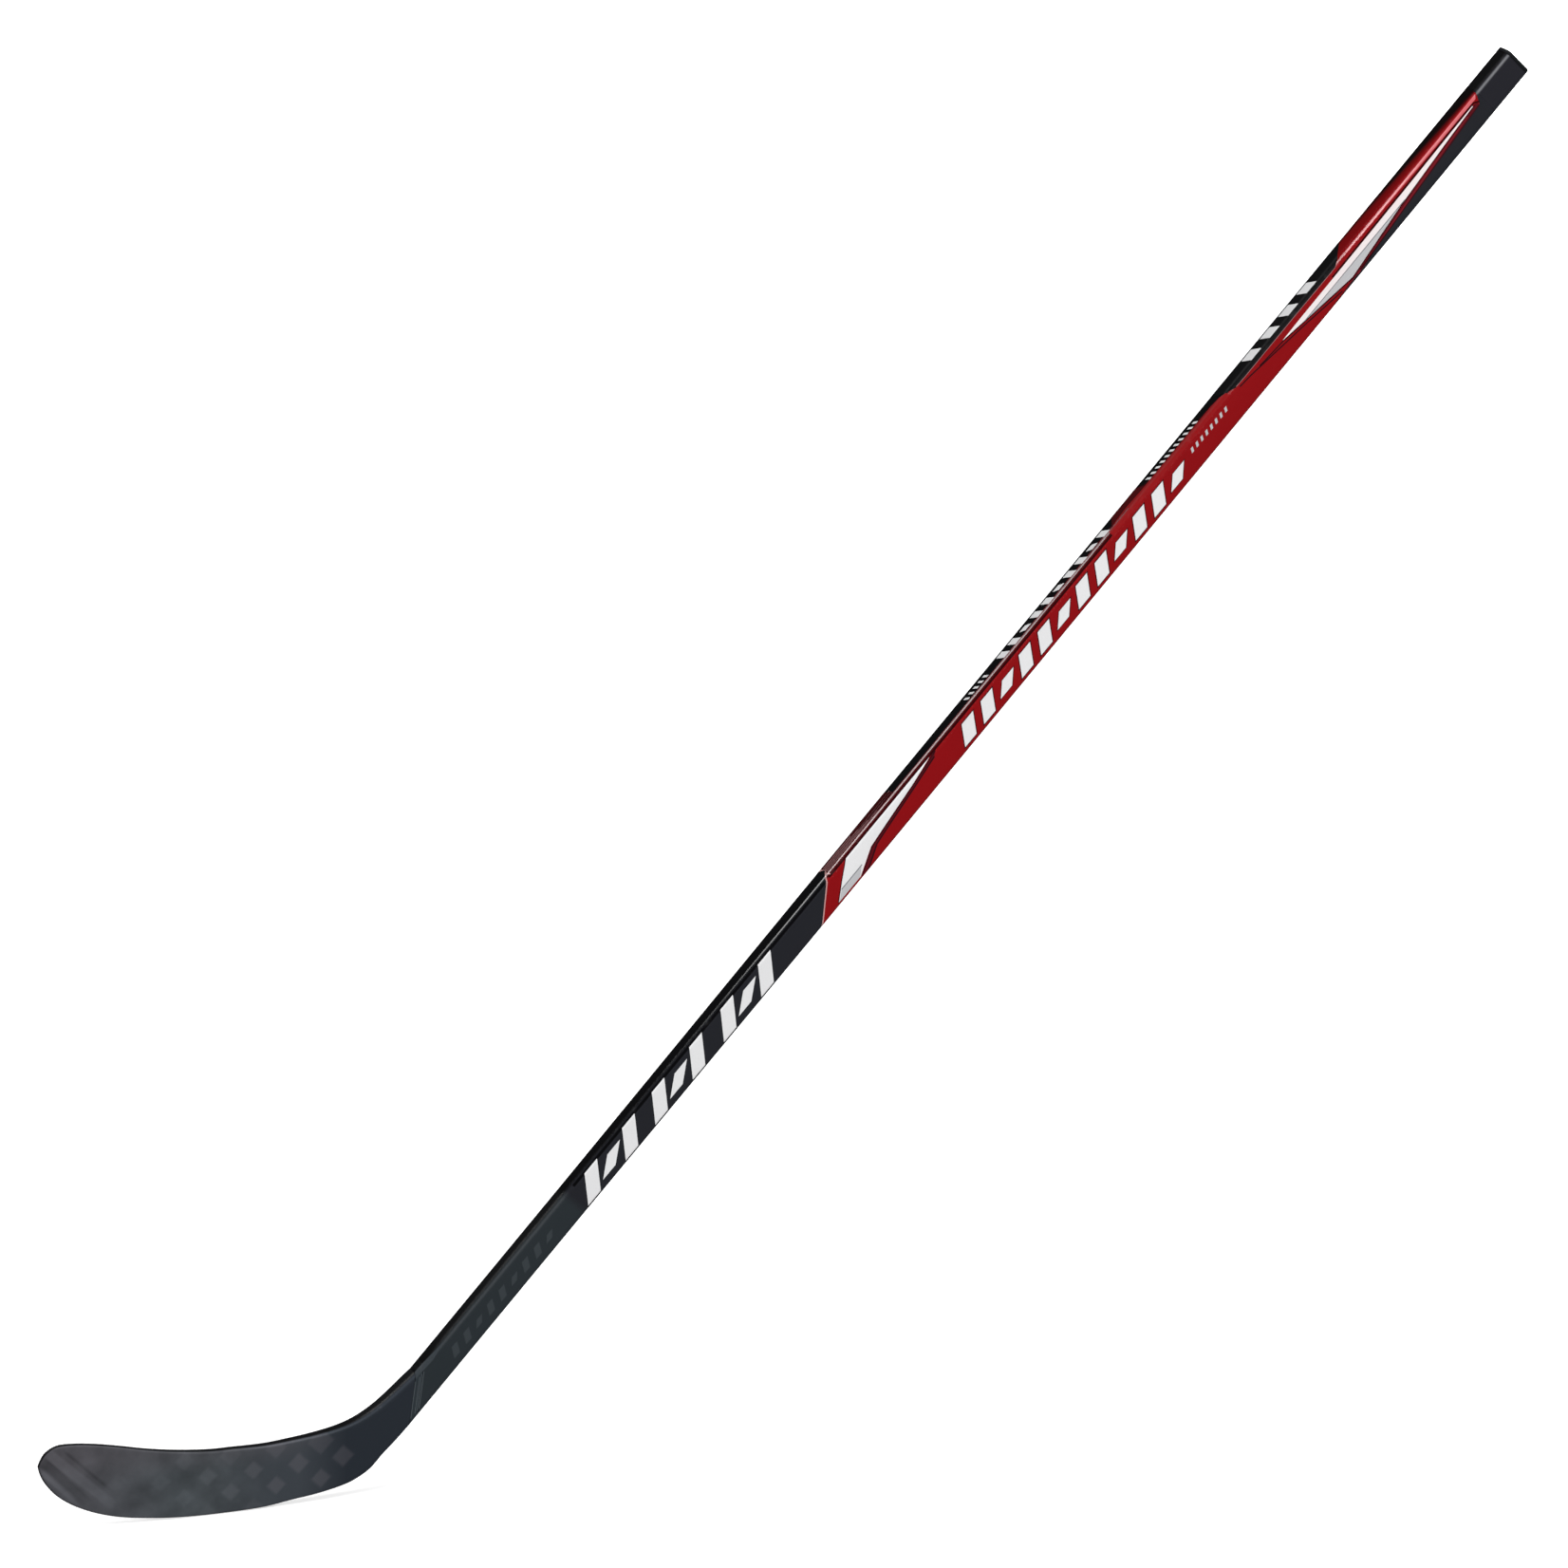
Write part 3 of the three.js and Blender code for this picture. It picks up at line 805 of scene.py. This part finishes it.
paint("field_edge", "wine", "line", [
    [(1474, 6.4), (1400, 12.2), (1368, 14), (1297, 22), (1262, under), (1300, 23.5), (1474, 9.8)],
])
paint("streak_lines_dark", "maroon", "mark", [
    strip([(1472, 6.4), (1440, 8.4), (1400, 11.3), (1368, 13.7), (1297, 21.8)], 1.0),
    strip([(1474, 9.5), (1368, 17.8), (1306, 22.7)], 1.1),
    strip([(1298, 22.1), (1281, 19.4), (1251, 14.4), (1219, 9.0), (1190, 6.8)], 1.3),
    strip([(1283, 22.5), (1240, 15), (1180, 6), (1166, 4.6)], 1.3),
])
paint("streak_line_upper", "darkLine", "shade", [
    strip([(1476, 7.6), (1471.5, 4.3), (1400, 5.0), (1340, 5.8), (1285, 6.5)], 1.7),
])
paint("streak_line_rose", "rose", "mark", [strip([(1460, 8.3), (1368, 16.4), (1302, 23.4)], 1.3)])
paint("panel_line", "roseGrey", "shade", [
    strip([(1293, 2.5), (1240, 2.2), (1175, 2.4), (1164, 2.1)], 0.5),
], once)
paint("streak_shade", "pale", "shade", [
    [(1372, 12.8), (1280, 13.4), (1246, 13.0), (1280, 18.4), (1296.5, 20.9), (1368, 13.0)],
])
paint("streak_divider", "grey", "shade", [strip([(1374, 12.6), (1280, 12.8), (1243, 12.6)], 0.8)])

# second streak
paint("lower_streak_white", "white", "mark", [
    [(767, 1.5), (659, 1.6), (643, 12.5), (628, 23.5), (656, 23.5), (680, 12.8), (700, 10.3),
        (740, 5.7)],
])
paint("lower_streak_shade", "pale", "shade", [[(663, 17.6), (637, 17.6), (629, 23.4), (655.5, 23.4)]])
paint("lower_streak_divider", "grey", "shade", [strip([(664, 17.2), (637.5, 17.2)], 0.8)])
streakSide = [
    (774, 1.8), (741, 6.3), (701, 10.9), (681, 13.5), (657, 24.2), (664, 25.4), (685, 15.5),
    (701, 13.4), (741, 8.6), (770, 4.6),
]
paint("lower_streak_side", "wine", "fill", [streakSide])
paint("lower_streak_dark", "maroon", "line", [
    strip([(774, 1.8), (741, 6.4), (701, 11.0), (681, 13.6), (657, 24.3)], 1.3),
    strip([(770, 4.6), (741, 8.6), (701, 13.4), (685, 15.5), (664, 25.4)], 1.5),
    strip([(658.2, 1.6), (642.2, 12.5), (627.2, 23.5)], 0.8),
])
paint("cut_line", "pink", "mark", [
    strip([(641, far), (639, -13), (641, -8), (637, -2), (634, 2), (608, 23), (604, under)], 1.1),
])
# the long line near the corner is a painted highlight; the two short lines by the cut are print
paint("narrow_lines", "roseGrey", "line", [
    strip([(1030, -3.4), (980, -3.2), (860, -3.0), (740, -2.8), (660, -2.2), (641, -2.2)], 1.3),
    strip([(725, -9.8), (645, -7.6)], 1.0),
    strip([(725, -6.6), (645, -5)], 1.0),
], once)

# rows of plain slanted bars where the stick carries lettering
rowLook = {"start": 806, "count": 12, "pitch": 24.6, "middle": 13.6, "lean": -0.7, "every": 3, "short": 0.62}
bars("wide_bars_edge", "maroon", "line", {**rowLook, "width": 16.8, "height": 18.4})
bars("wide_bars", "white", "mark", {**rowLook, "width": 14.6, "height": 16.8})
bars("wide_small_bars", "pale", "line", {
    "start": 1101, "count": 8, "pitch": 6.2, "width": 2.6, "height": 4.0, "middle": 8.2, "lean": -0.5,
})
narrowRow = {"middle": -8.2, "lean": 0.5, "height": 8.6}
bars("narrow_bars", "white", "shade", {
    **narrowRow, "start": 1193, "count": 4, "pitch": 24, "width": 13, "height": 10.4, "middle": -7.6,
}, once)
bars("narrow_small_bars", "white", "line", {
    **narrowRow, "start": 1060, "count": 11, "pitch": 6, "width": 2.4, "height": 4.8,
}, once)
bars("narrow_mid_bars", "white", "mark", {
    **narrowRow, "start": 871, "count": 10, "pitch": 14.4, "width": 7.4, "every": 3, "short": 0.6,
}, once)
bars("narrow_end_bars", "white", "line", {
    **narrowRow, "start": 824, "count": 5, "pitch": 6, "width": 2.4, "height": 5,
}, once)
markLook = {
    "count": 3, "pitch": 24, "width": 16, "height": 22.6, "middle": 12.9, "lean": -0.8, "every": 2,
    "short": 0.55,
}
for number, start in enumerate((322.5, 408.5, 496.5)):
    bars(f"lower_bars_{number + 1}", "white", "mark", {**markLook, "start": start})
lineEnds = (arcHalf, stick["width"] - 2 * stick["corner"] + arcHalf)
slope = joint["slant"] * (stick["width"] / 2 - stick["corner"])
paint("joint_lines", "edgeGrey", "line", [
    strip([(joint["along"] + off + slope, lineEnds[0]), (joint["along"] + off - slope, lineEnds[1])], 0.7)
    for off in (6.4, 3.9, 0.9, -4.2)
])
# painted highlight: a pale patch on the corner just above the band
paint("corner_sheen", "cornerGrey", "line", [
    [(146, 0.6), (122, -1.6), (111, -2.2), (107, 2.2), (128, 3.4)],
], once)
bars("ghost_bars", "ghost", "line", {
    "start": 146, "count": 9, "pitch": 15, "width": 7, "height": 9, "middle": 14, "lean": -0.6,
    "every": 3, "short": 0.6,
})
print("stage: graphics laid")


bladeSize = {
    "length": 261,
    "height": 55,
    "heel": 11.8,
    "toe": 5.6,
    "tipFrom": 0.955,
    "tipReach": 0.045,
    "tipThinning": 0.4,
    "curve": 30,
    "curveFrom": 7,
    "power": 2.2,
    "opening": 0.08,
    "skin": 1.2,
    "neckWall": 2.1,
}
# the section: corners as shares of its thickness or height, and the seam groove in mm
sectionSize = {
    "corner": 0.61,
    "leastCorner": 0.3,
    "mostCorner": 0.46,
    "seamAt": 0.25,
    "groove": 0.15,
    "grooveShare": 0.1,
    "deep": 0.15,
    "deepShare": 0.05,
}
# Rows run from the joint to the toe, first along the neck: low point along and in,
# high point along and out, share of the way to the heel's thickness
neckRows = [
    (57.5, 0.6, 100.1, 1.6, 0.075),
    (42.3, 1.6, 85.7, 3.6, 0.275),
    (25.9, 2.0, 69.3, 6.7, 0.575),
    (11.2, 6.7, 52.8, 12.3, 0.85),
]
# then along the blade: share of the length, lower and upper edge as shares of the height
bladeRows = [
    (0.036, 0.163, 1.118), (0.115, 0.101, 1.061), (0.198, 0.063, 1.028),
    (0.287, 0.013, 1.005), (0.393, 0.000, 1.018), (0.468, 0.000, 1.028),
    (0.569, 0.013, 1.079), (0.663, 0.049, 1.152), (0.753, 0.111, 1.245),
    (0.831, 0.217, 1.312), (0.895, 0.359, 1.342), (0.944, 0.530, 1.329),
    (0.978, 0.730, 1.232), (0.995, 0.899, 1.102), (1.000, 1.007, 1.012),
]
heelX = shaftOrigin.x / mm
shaftY = shaftOrigin.y / mm


def shaftSpot(along, across):  # in the blade's plane, in mm
    cosine, sine = math.cos(lie), math.sin(lie)
    return np.array([heelX + along * cosine - across * sine, along * sine + across * cosine])


def jointEdge(across, shift):
    return shaftSpot(joint["along"] + shift + (across - stick["width"] / 2) * joint["slant"], across)


def bladeThickness(share):
    taper = bladeSize["toe"] + (bladeSize["heel"] - bladeSize["toe"]) * (1 - share) ** 2
    tip = min(max((share - bladeSize["tipFrom"]) / bladeSize["tipReach"], 0), 1)
    return taper * (1 - bladeSize["tipThinning"] * tip**2)


def middleY(x, z):
    reach = max(0, heelX - bladeSize["curveFrom"] - x) / bladeSize["length"]
    bend = bladeSize["curve"] * reach ** bladeSize["power"]
    return shaftY + bend - bladeSize["opening"] * reach**2 * (z - bladeSize["height"] / 2)


lowPoints = [jointEdge(0, -joint["reach"])]
highPoints = [jointEdge(stick["width"], -joint["reach"])]
thickPoints = [np.array([stick["lowerDepth"], bladeSize["neckWall"]])]
for i, (lowAlong, lowIn, highAlong, highOut, thinning) in enumerate(neckRows):
    lowPoints.append(shaftSpot(lowAlong, lowIn))
    highPoints.append(shaftSpot(highAlong, stick["width"] + highOut))
    thickness = stick["lowerDepth"] + (bladeSize["heel"] - stick["lowerDepth"]) * thinning
    share = (i + 1) / len(neckRows)
    neckSkin = bladeSize["neckWall"] + (bladeSize["skin"] - bladeSize["neckWall"]) * share
    thickPoints.append(np.array([thickness, neckSkin]))
for share, low, high in bladeRows:
    x = heelX - share * bladeSize["length"]
    lowPoints.append(np.array([x, low * bladeSize["height"]]))
    highPoints.append(np.array([x, high * bladeSize["height"]]))
    thickPoints.append(np.array([bladeThickness(share), bladeSize["skin"]]))
rowCount = len(lowPoints)


def splinePoint(points, t):
    place = (len(points) - 1) * t
    i = min(int(math.floor(place)), len(points) - 1)
    w = place - i
    p0 = points[i if i == 0 else i - 1]
    p1 = points[i]
    p2 = points[min(i + 1, len(points) - 1)]
    p3 = points[min(i + 2, len(points) - 1)]
    v0, v1 = (p2 - p0) * 0.5, (p3 - p1) * 0.5
    return (2 * p1 - 2 * p2 + v0 + v1) * w**3 + (-3 * p1 + 3 * p2 - 2 * v0 - v1) * w**2 + v0 * w + p1


def splineTangent(points, t):
    step = splinePoint(points, min(t + 0.0001, 1)) - splinePoint(points, max(t - 0.0001, 0))
    return step / np.linalg.norm(step)


def makeStation(low, high, lowTangent, highTangent, half, skin):
    chord = high - low
    length = float(np.linalg.norm(chord))

    def stretch(tangent):
        sine = abs(tangent[0] * chord[1] - tangent[1] * chord[0]) / length
        return min(1 / max(sine, 1e-9), 3)

    stretches = {"lowStretch": stretch(lowTangent), "highStretch": stretch(highTangent)}
    return {"low": low, "high": high, "length": length, **stretches, "half": half, "skin": skin}


def bladeStation(row):
    t = row / (rowCount - 1)
    low, high = splinePoint(lowPoints, t), splinePoint(highPoints, t)
    low = np.array([low[0], max(low[1], 0)])
    thickness, skin = splinePoint(thickPoints, t)
    tangents = splineTangent(lowPoints, t), splineTangent(highPoints, t)
    return makeStation(low, high, *tangents, thickness / 2, skin)


def jointStation(shift):
    direction = np.array([math.cos(lie), math.sin(lie)])
    low, high = jointEdge(0, shift), jointEdge(stick["width"], shift)
    return makeStation(low, high, direction, direction, stick["lowerDepth"] / 2, bladeSize["neckWall"])


def sectionLoop(station, inset, cornerCells=8, faceCells=40):
    lowV = inset * station["lowStretch"]
    highV = station["length"] - inset * station["highStretch"]
    half = station["half"] - inset
    corner = min(stick["corner"], sectionSize["corner"] * station["half"]) - inset
    corner = max(corner, sectionSize["leastCorner"] * half)
    limit = sectionSize["mostCorner"] * (highV - lowV)
    lowCorner = min(corner * station["lowStretch"], limit)
    highCorner = min(corner * station["highStretch"], limit)
    seam = sectionSize["seamAt"] * station["half"]
    groove = min(sectionSize["groove"], sectionSize["grooveShare"] * half)
    depth = min(sectionSize["deep"], sectionSize["deepShare"] * (highV - lowV))
    side, top = [], []  # (height in the section, distance from its middle, how near a corner)
    for i in range(cornerCells + 1):
        angle = i / cornerCells * math.pi / 2
        rise, out = 1 - math.cos(angle), half - corner + corner * math.sin(angle)
        side.append((lowV + lowCorner * rise, out, math.sin(2 * angle)))
        top.append((highV - highCorner * rise, out, math.sin(2 * angle)))
    flatHeight = highV - highCorner - lowV - lowCorner
    side += [(lowV + lowCorner + flatHeight * i / faceCells, half, 0) for i in range(1, faceCells)]
    side += top[::-1]
    # the seam groove of the two skins, as steps of (share of its half width, share of its depth)
    grooveSteps = ((-1, 0), (-0.5, 1), (0.5, 1), (1, 0))
    loop = [(v, -w, r) for v, w, r in side]
    loop += [(highV - depth * down, seam + groove * off, 0) for off, down in grooveSteps]
    loop += side[::-1]
    loop += [(lowV + depth * down, seam + groove * off, 0) for off, down in grooveSteps[::-1]]
    made = []
    for v, w, r in loop:
        place = station["low"] + (station["high"] - station["low"]) * (v / station["length"])
        made.append((place[0], middleY(place[0], place[1]) + w, place[1], r))
    return made


outerStations = [
    (jointStation(-joint["gap"] / 2), joint["recess"]),
    (jointStation(-joint["reach"]), joint["recess"]),
    (jointStation(-joint["reach"]), joint["edge"]),
    (jointStation(-joint["reach"] - joint["edge"]), 0),
]
stepsPerRow = 15
bladeSteps = (rowCount - 1) * stepsPerRow
outerStations += [(bladeStation(i / stepsPerRow), 0) for i in range(1, bladeSteps + 1)]
innerStations = [jointStation(-joint["gap"] / 2)]
innerSteps = 60
innerStations += [bladeStation(i / innerSteps * (rowCount - 2)) for i in range(1, innerSteps + 1)]

lozenge = {
    "origin": (7.74, 51.1),
    "first": (19.47, -15.9),
    "second": (-19.22, -16.58),
    "soft": 3.6,
    # steps along the two directions, half diagonal in mm, strength
    "cells": [
        (-1, 1, 8.2, 0.6), (0, 1, 8.0, 0.8), (-1, 2, 8.0, 0.45), (0, 2, 8.2, 0.6), (0, 0, 9.5, 0.5),
        (1, 0, 8.0, 1.0), (1, 1, 8.0, 0.85), (2, 0, 8.0, 1.0), (2, -1, 9.0, 0.9), (1, -1, 9.0, 0.7),
        (3, -1, 8.4, 0.85), (3, -2, 9.5, 0.75), (2, -2, 11.5, 0.6), (1, 2, 8.0, 0.3),
        (2, 1, 8.0, 0.4), (-2, 3, 8.0, 0.25),
    ],
}
# slanted bands of painted highlight and painted shade at the toe, as their ends and half width in mm
toeSheenBands = {
    "toePaintedHighlight": [((-143, 69), (-92, 20.5), 4.2), ((-149, 55), (-118, 22), 2.5)],
    "toePaintedShade": [((-147, 61.5), (-108, 19), 4.6), ((-130, 70), (-92, 32), 1.1)],
}


def smoothRamp(value, low, high):
    share = np.clip((value - low) / (high - low), 0, 1)
    return share * share * (3 - 2 * share)


def lozengeMask(x, z):
    found = np.zeros_like(x)
    soft = lozenge["soft"] / 2
    origin, first, second = (np.array(lozenge[label]) for label in ("origin", "first", "second"))
    for i, j, half, strength in lozenge["cells"]:
        middle = origin + i * first + j * second
        away = np.abs(x - middle[0]) + np.abs(z - middle[1])
        found = np.maximum(found, strength * smoothRamp(away, half + soft, half - soft))
    return found


def bandMask(x, z, bands):
    found = np.zeros_like(x)
    for (x0, z0), (x1, z1), half in bands:
        length = math.hypot(x1 - x0, z1 - z0)
        across = ((x - x0) * (z1 - z0) - (z - z0) * (x1 - x0)) / length
        along = ((x - x0) * (x1 - x0) + (z - z0) * (z1 - z0)) / length
        band = smoothRamp(np.abs(across), half + 1, half - 1) * smoothRamp(along, -2, 6)
        band = band * smoothRamp(along, length + 10, length - 14)
        found = np.maximum(found, band)
    return found


def makeBlade():
    outer = [sectionLoop(station, inset) for station, inset in outerStations]
    inner = [sectionLoop(station, station["skin"]) for station in innerStations]
    rings = outer[::-1] + inner  # from the toe back to the joint, then inside to the toe
    count = len(rings[0])
    spots = np.array([point for ring in rings for point in ring])
    faces = []
    for i in range(len(rings) - 1):
        for j in range(count):
            k = (j + 1) % count
            faces.append((i * count + j, i * count + k, (i + 1) * count + k, (i + 1) * count + j))
    faces.append(tuple(range(count))[::-1])
    faces.append(tuple(range((len(rings) - 1) * count, len(rings) * count)))
    mesh = bpy.data.meshes.new("blade_shell")
    mesh.from_pydata((spots[:, :3] * mm).tolist(), [], faces)
    x, z = spots[:, 0], spots[:, 2]
    for label, values in (
        ("ridge", spots[:, 3]),
        ("lozenge", lozengeMask(x, z)),
        *((band, bandMask(x, z, lines)) for band, lines in toeSheenBands.items()),
    ):
        mesh.attributes.new(label, "FLOAT", "POINT").data.foreach_set("value", values.astype(np.float32))
    flat = mesh.attributes.new("flat", "FLOAT_VECTOR", "POINT")
    flat.data.foreach_set("vector", np.column_stack([x, z, np.zeros_like(x)]).ravel() * mm)
    return mesh


bladeLook = {
    "colour": "#484d51",
    "toeColour": "#525358",
    # where each colour takes over, in mm along X
    "toeRange": (-40, -110),
    "heelRange": (-10, 50),
    "neckRange": (66, 108),
    "clouds": 38.0,
    "heelColour": "#3f444a",
    "patchColour": "#5a565b",
    "neckColour": "#292e35",
    "patchLift": 0.32,
    "patchMix": 0.34,
    # strengths of the painted highlight and painted shade in the toe bands
    "highlightBandLift": 0.34,
    "shadeBandDrop": 0.3,
    "warmRise": (38, 60),
    "warmReach": (92, 55),
    "warmMix": 0.4,
    "cloudDepth": 1.3,
    "cornerHighlightLift": 0.55,
    "rough": 0.42,
    "shine": 0.3,
    "bump": 0.25,
    "weave": 0.35,
    "wear": 0.1,
    "mottle": 0.1,
}


def bladeZones(tree, base, flat):
    x, z = flatSpot(tree, flat)
    shown = base
    for label in ("toe", "heel", "neck"):
        share = x.ramp(*bladeLook[label + "Range"])
        shown = mixColours(tree, share, shown, colour(bladeLook[label + "Colour"]))
    # a warmer tone along the top edge
    warm = z.ramp(*bladeLook["warmRise"]) * x.ramp(*bladeLook["warmReach"]) * bladeLook["warmMix"]
    shown = mixColours(tree, warm, shown, colour(bladeLook["patchColour"]))
    cloud = noise(tree, flat, bladeLook["clouds"], 3.0) - 0.5
    patches = mask(tree, "lozenge")
    level = cloud * bladeLook["cloudDepth"] * x.ramp(60, 0) + patches * bladeLook["patchLift"] + 1
    # painted highlight and painted shade in slanted bands across the toe
    level = level + mask(tree, "toePaintedHighlight") * bladeLook["highlightBandLift"]
    level = level - mask(tree, "toePaintedShade") * bladeLook["shadeBandDrop"]
    # painted highlight: lighter along the blade's corners on the heel and neck
    level = level + mask(tree, "ridge").ramp(0.55, 0.95) * bladeLook["cornerHighlightLift"] * x.ramp(0, 40)
    warmed = patches * bladeLook["patchMix"] * x.ramp(-40, 60)
    patched = mixColours(tree, warmed, scaled(tree, shown, level), colour(bladeLook["patchColour"]))
    # painted shade on the faces that look up and down
    return paintNarrowShade(tree, patched)


bladeFinish = makeFinish("bladeFinish", bladeLook, bladeZones)
blade = newObject("blade_shell", makeBlade())
blade.data.materials.append(bladeFinish)
finishPiece(blade, "blade_finish", "blade_forehand_skin", "blade_backhand_skin")
print("stage: blade built")

composite = {"colour": "#202124", "rough": 0.6, "onFlat": False, "bump": 0.4, "weave": 0.6}
foam = {"colour": "#d9d6c8", "rough": 0.9, "onFlat": False, "bump": 0.6, "weave": 0.0, "grain": 1.0}
innerLooks = {
    "blade_tenon": composite,
    "blade_core_rib": composite,
    "damper_foam": {**foam, "colour": "#77797c", "rough": 0.95},
    "blade_core_lower": foam,
    "blade_core_upper": foam,
}
for nodeName, look in innerLooks.items():
    node = frame["nodes"][nodeName]
    finish = makeFinish(nodeName + "Finish", look)
    for place in node.material_slots:
        place.material = finish
print("stage: inner parts dressed")

studio = {
    "floorSize": 60,
    "floorColour": "#f4f4f4",
    "floorBounce": "#3c3c3c",
    "floorGlow": 0.5,
    "ambient": 0.3,
    "mirrored": 0.03,
    "keyPower": 282,
    "keySize": 3.0,
    "keyPlace": (1.9, -5.5, 1.3),
    "topPower": 130,
    "topSize": 2.5,
    "topPlace": (-2.2, -0.4, 4.2),
    "backPower": 210,
    "backPlace": (4.6, 4.6, 0.9),
    "backSize": 3.0,
    "sheenDistance": 3.0,
    "sheenSlip": 0.18,
}
# lights seen only as bright lines along the corners; from and to are along the shaft, in mm
sheens = [
    {"from": 1310, "to": 1524, "direction": (-0.318, -0.866, 0.386), "power": 16, "wide": 2.2},
    {"from": 300, "to": 1000, "direction": (-0.651, 0.280, 0.703), "power": 30, "wide": 1.5},
]
middle = Vector((0.505, 0, 0.56))  # what the lights and the camera look at

floorMesh = bpy.data.meshes.new("floor")
reach = studio["floorSize"] / 2
corners = [(-reach, -reach, 0), (reach, -reach, 0), (reach, reach, 0), (-reach, reach, 0)]
floorMesh.from_pydata(corners, [], [(0, 1, 2, 3)])
floor = newObject("floor", floorMesh)
floorFinish = bpy.data.materials.new("floorFinish")
floorFinish.use_nodes = True
floorTree = floorFinish.node_tree
floorShader = floorTree.nodes["Principled BSDF"]
rays = add(floorTree, "ShaderNodeLightPath").outputs
seen = Number(floorTree, rays["Is Camera Ray"])
shownFloor = mixColours(floorTree, seen, colour(studio["floorBounce"]), colour(studio["floorColour"]))
glow = {"Emission Color": (1, 1, 1, 1), "Emission Strength": seen * studio["floorGlow"]}
matt = {"Base Color": shownFloor, "Roughness": 1.0, "Specular IOR Level": 0.0}
feed(floorTree, floorShader, {**matt, **glow})
floorMesh.materials.append(floorFinish)

world = bpy.data.worlds.new("studio")
bpy.context.scene.world = world
world.use_nodes = True
worldTree = world.node_tree
sky = worldTree.nodes["Background"]
sky.inputs["Color"].default_value = (1, 1, 1, 1)
skyRays = add(worldTree, "ShaderNodeLightPath").outputs
skySeen = Number(worldTree, skyRays["Is Camera Ray"])
skyMirrored = Number(worldTree, skyRays["Is Glossy Ray"])
dimmed = skyMirrored * (studio["mirrored"] - studio["ambient"]) + studio["ambient"]
plug(worldTree, sky.inputs["Strength"], skySeen * (1 - studio["ambient"]) + dimmed)


def placed(place, sideways, upward, backward):
    return Matrix.Translation(Vector(place)) @ Matrix((sideways, upward, backward)).transposed().to_4x4()


def addLight(name, place, aim, power, wide, tall, upward=Vector((0, 0, 1))):
    data = bpy.data.lights.new(name, "AREA")
    data.shape = "RECTANGLE"
    data.size, data.size_y = wide, tall
    data.energy = power
    light = newObject(name, data)
    away = (Vector(place) - Vector(aim)).normalized()
    sideways = upward.cross(away).normalized()
    light.matrix_world = placed(place, sideways, away.cross(sideways), away)
    light.visible_camera = False
    return light


for label in ("key", "top", "back"):
    wide = studio[label + "Size"]
    light = addLight(label, studio[label + "Place"], middle, studio[label + "Power"], wide, wide)
    light.visible_glossy = False  # these give plain light and no glare
for number, sheen in enumerate(sheens):
    aim = shaftOrigin + alongAxis * (sheen["from"] + sheen["to"]) / 2 * mm + acrossAxis * stick["width"] * mm
    away = Vector(sheen["direction"]).normalized()
    place = aim + away * studio["sheenDistance"] + alongAxis * studio["sheenSlip"]
    long = (sheen["to"] - sheen["from"]) * mm
    aim = aim + alongAxis * studio["sheenSlip"]
    light = addLight(f"sheen{number + 1}", place, aim, sheen["power"], sheen["wide"], long, alongAxis)
    light.visible_diffuse = False

shot = {
    "back": (-0.42139, -0.85055, 0.31465),
    "up": (0.11741, 0.29287, 0.94892),
    "distance": 7.0,
    "lens": 196.78,
    "sensor": 36,
    "farClip": 200,
    "aside": -0.00863,
    "raised": 0.00119,
}
backward = Vector(shot["back"]).normalized()
rightward = Vector(shot["up"]).cross(backward).normalized()
upward = backward.cross(rightward)
cameraData = bpy.data.cameras.new("camera")
cameraData.lens = shot["lens"]
cameraData.sensor_width = shot["sensor"]
cameraData.clip_end = shot["farClip"]
camera = newObject("camera", cameraData)
spot = middle + backward * shot["distance"] + rightward * shot["aside"] + upward * shot["raised"]
camera.matrix_world = placed(spot, rightward, upward, backward)
bpy.context.scene.camera = camera
bpy.context.scene.view_settings.view_transform = "Standard"

print("stage: scene finished")
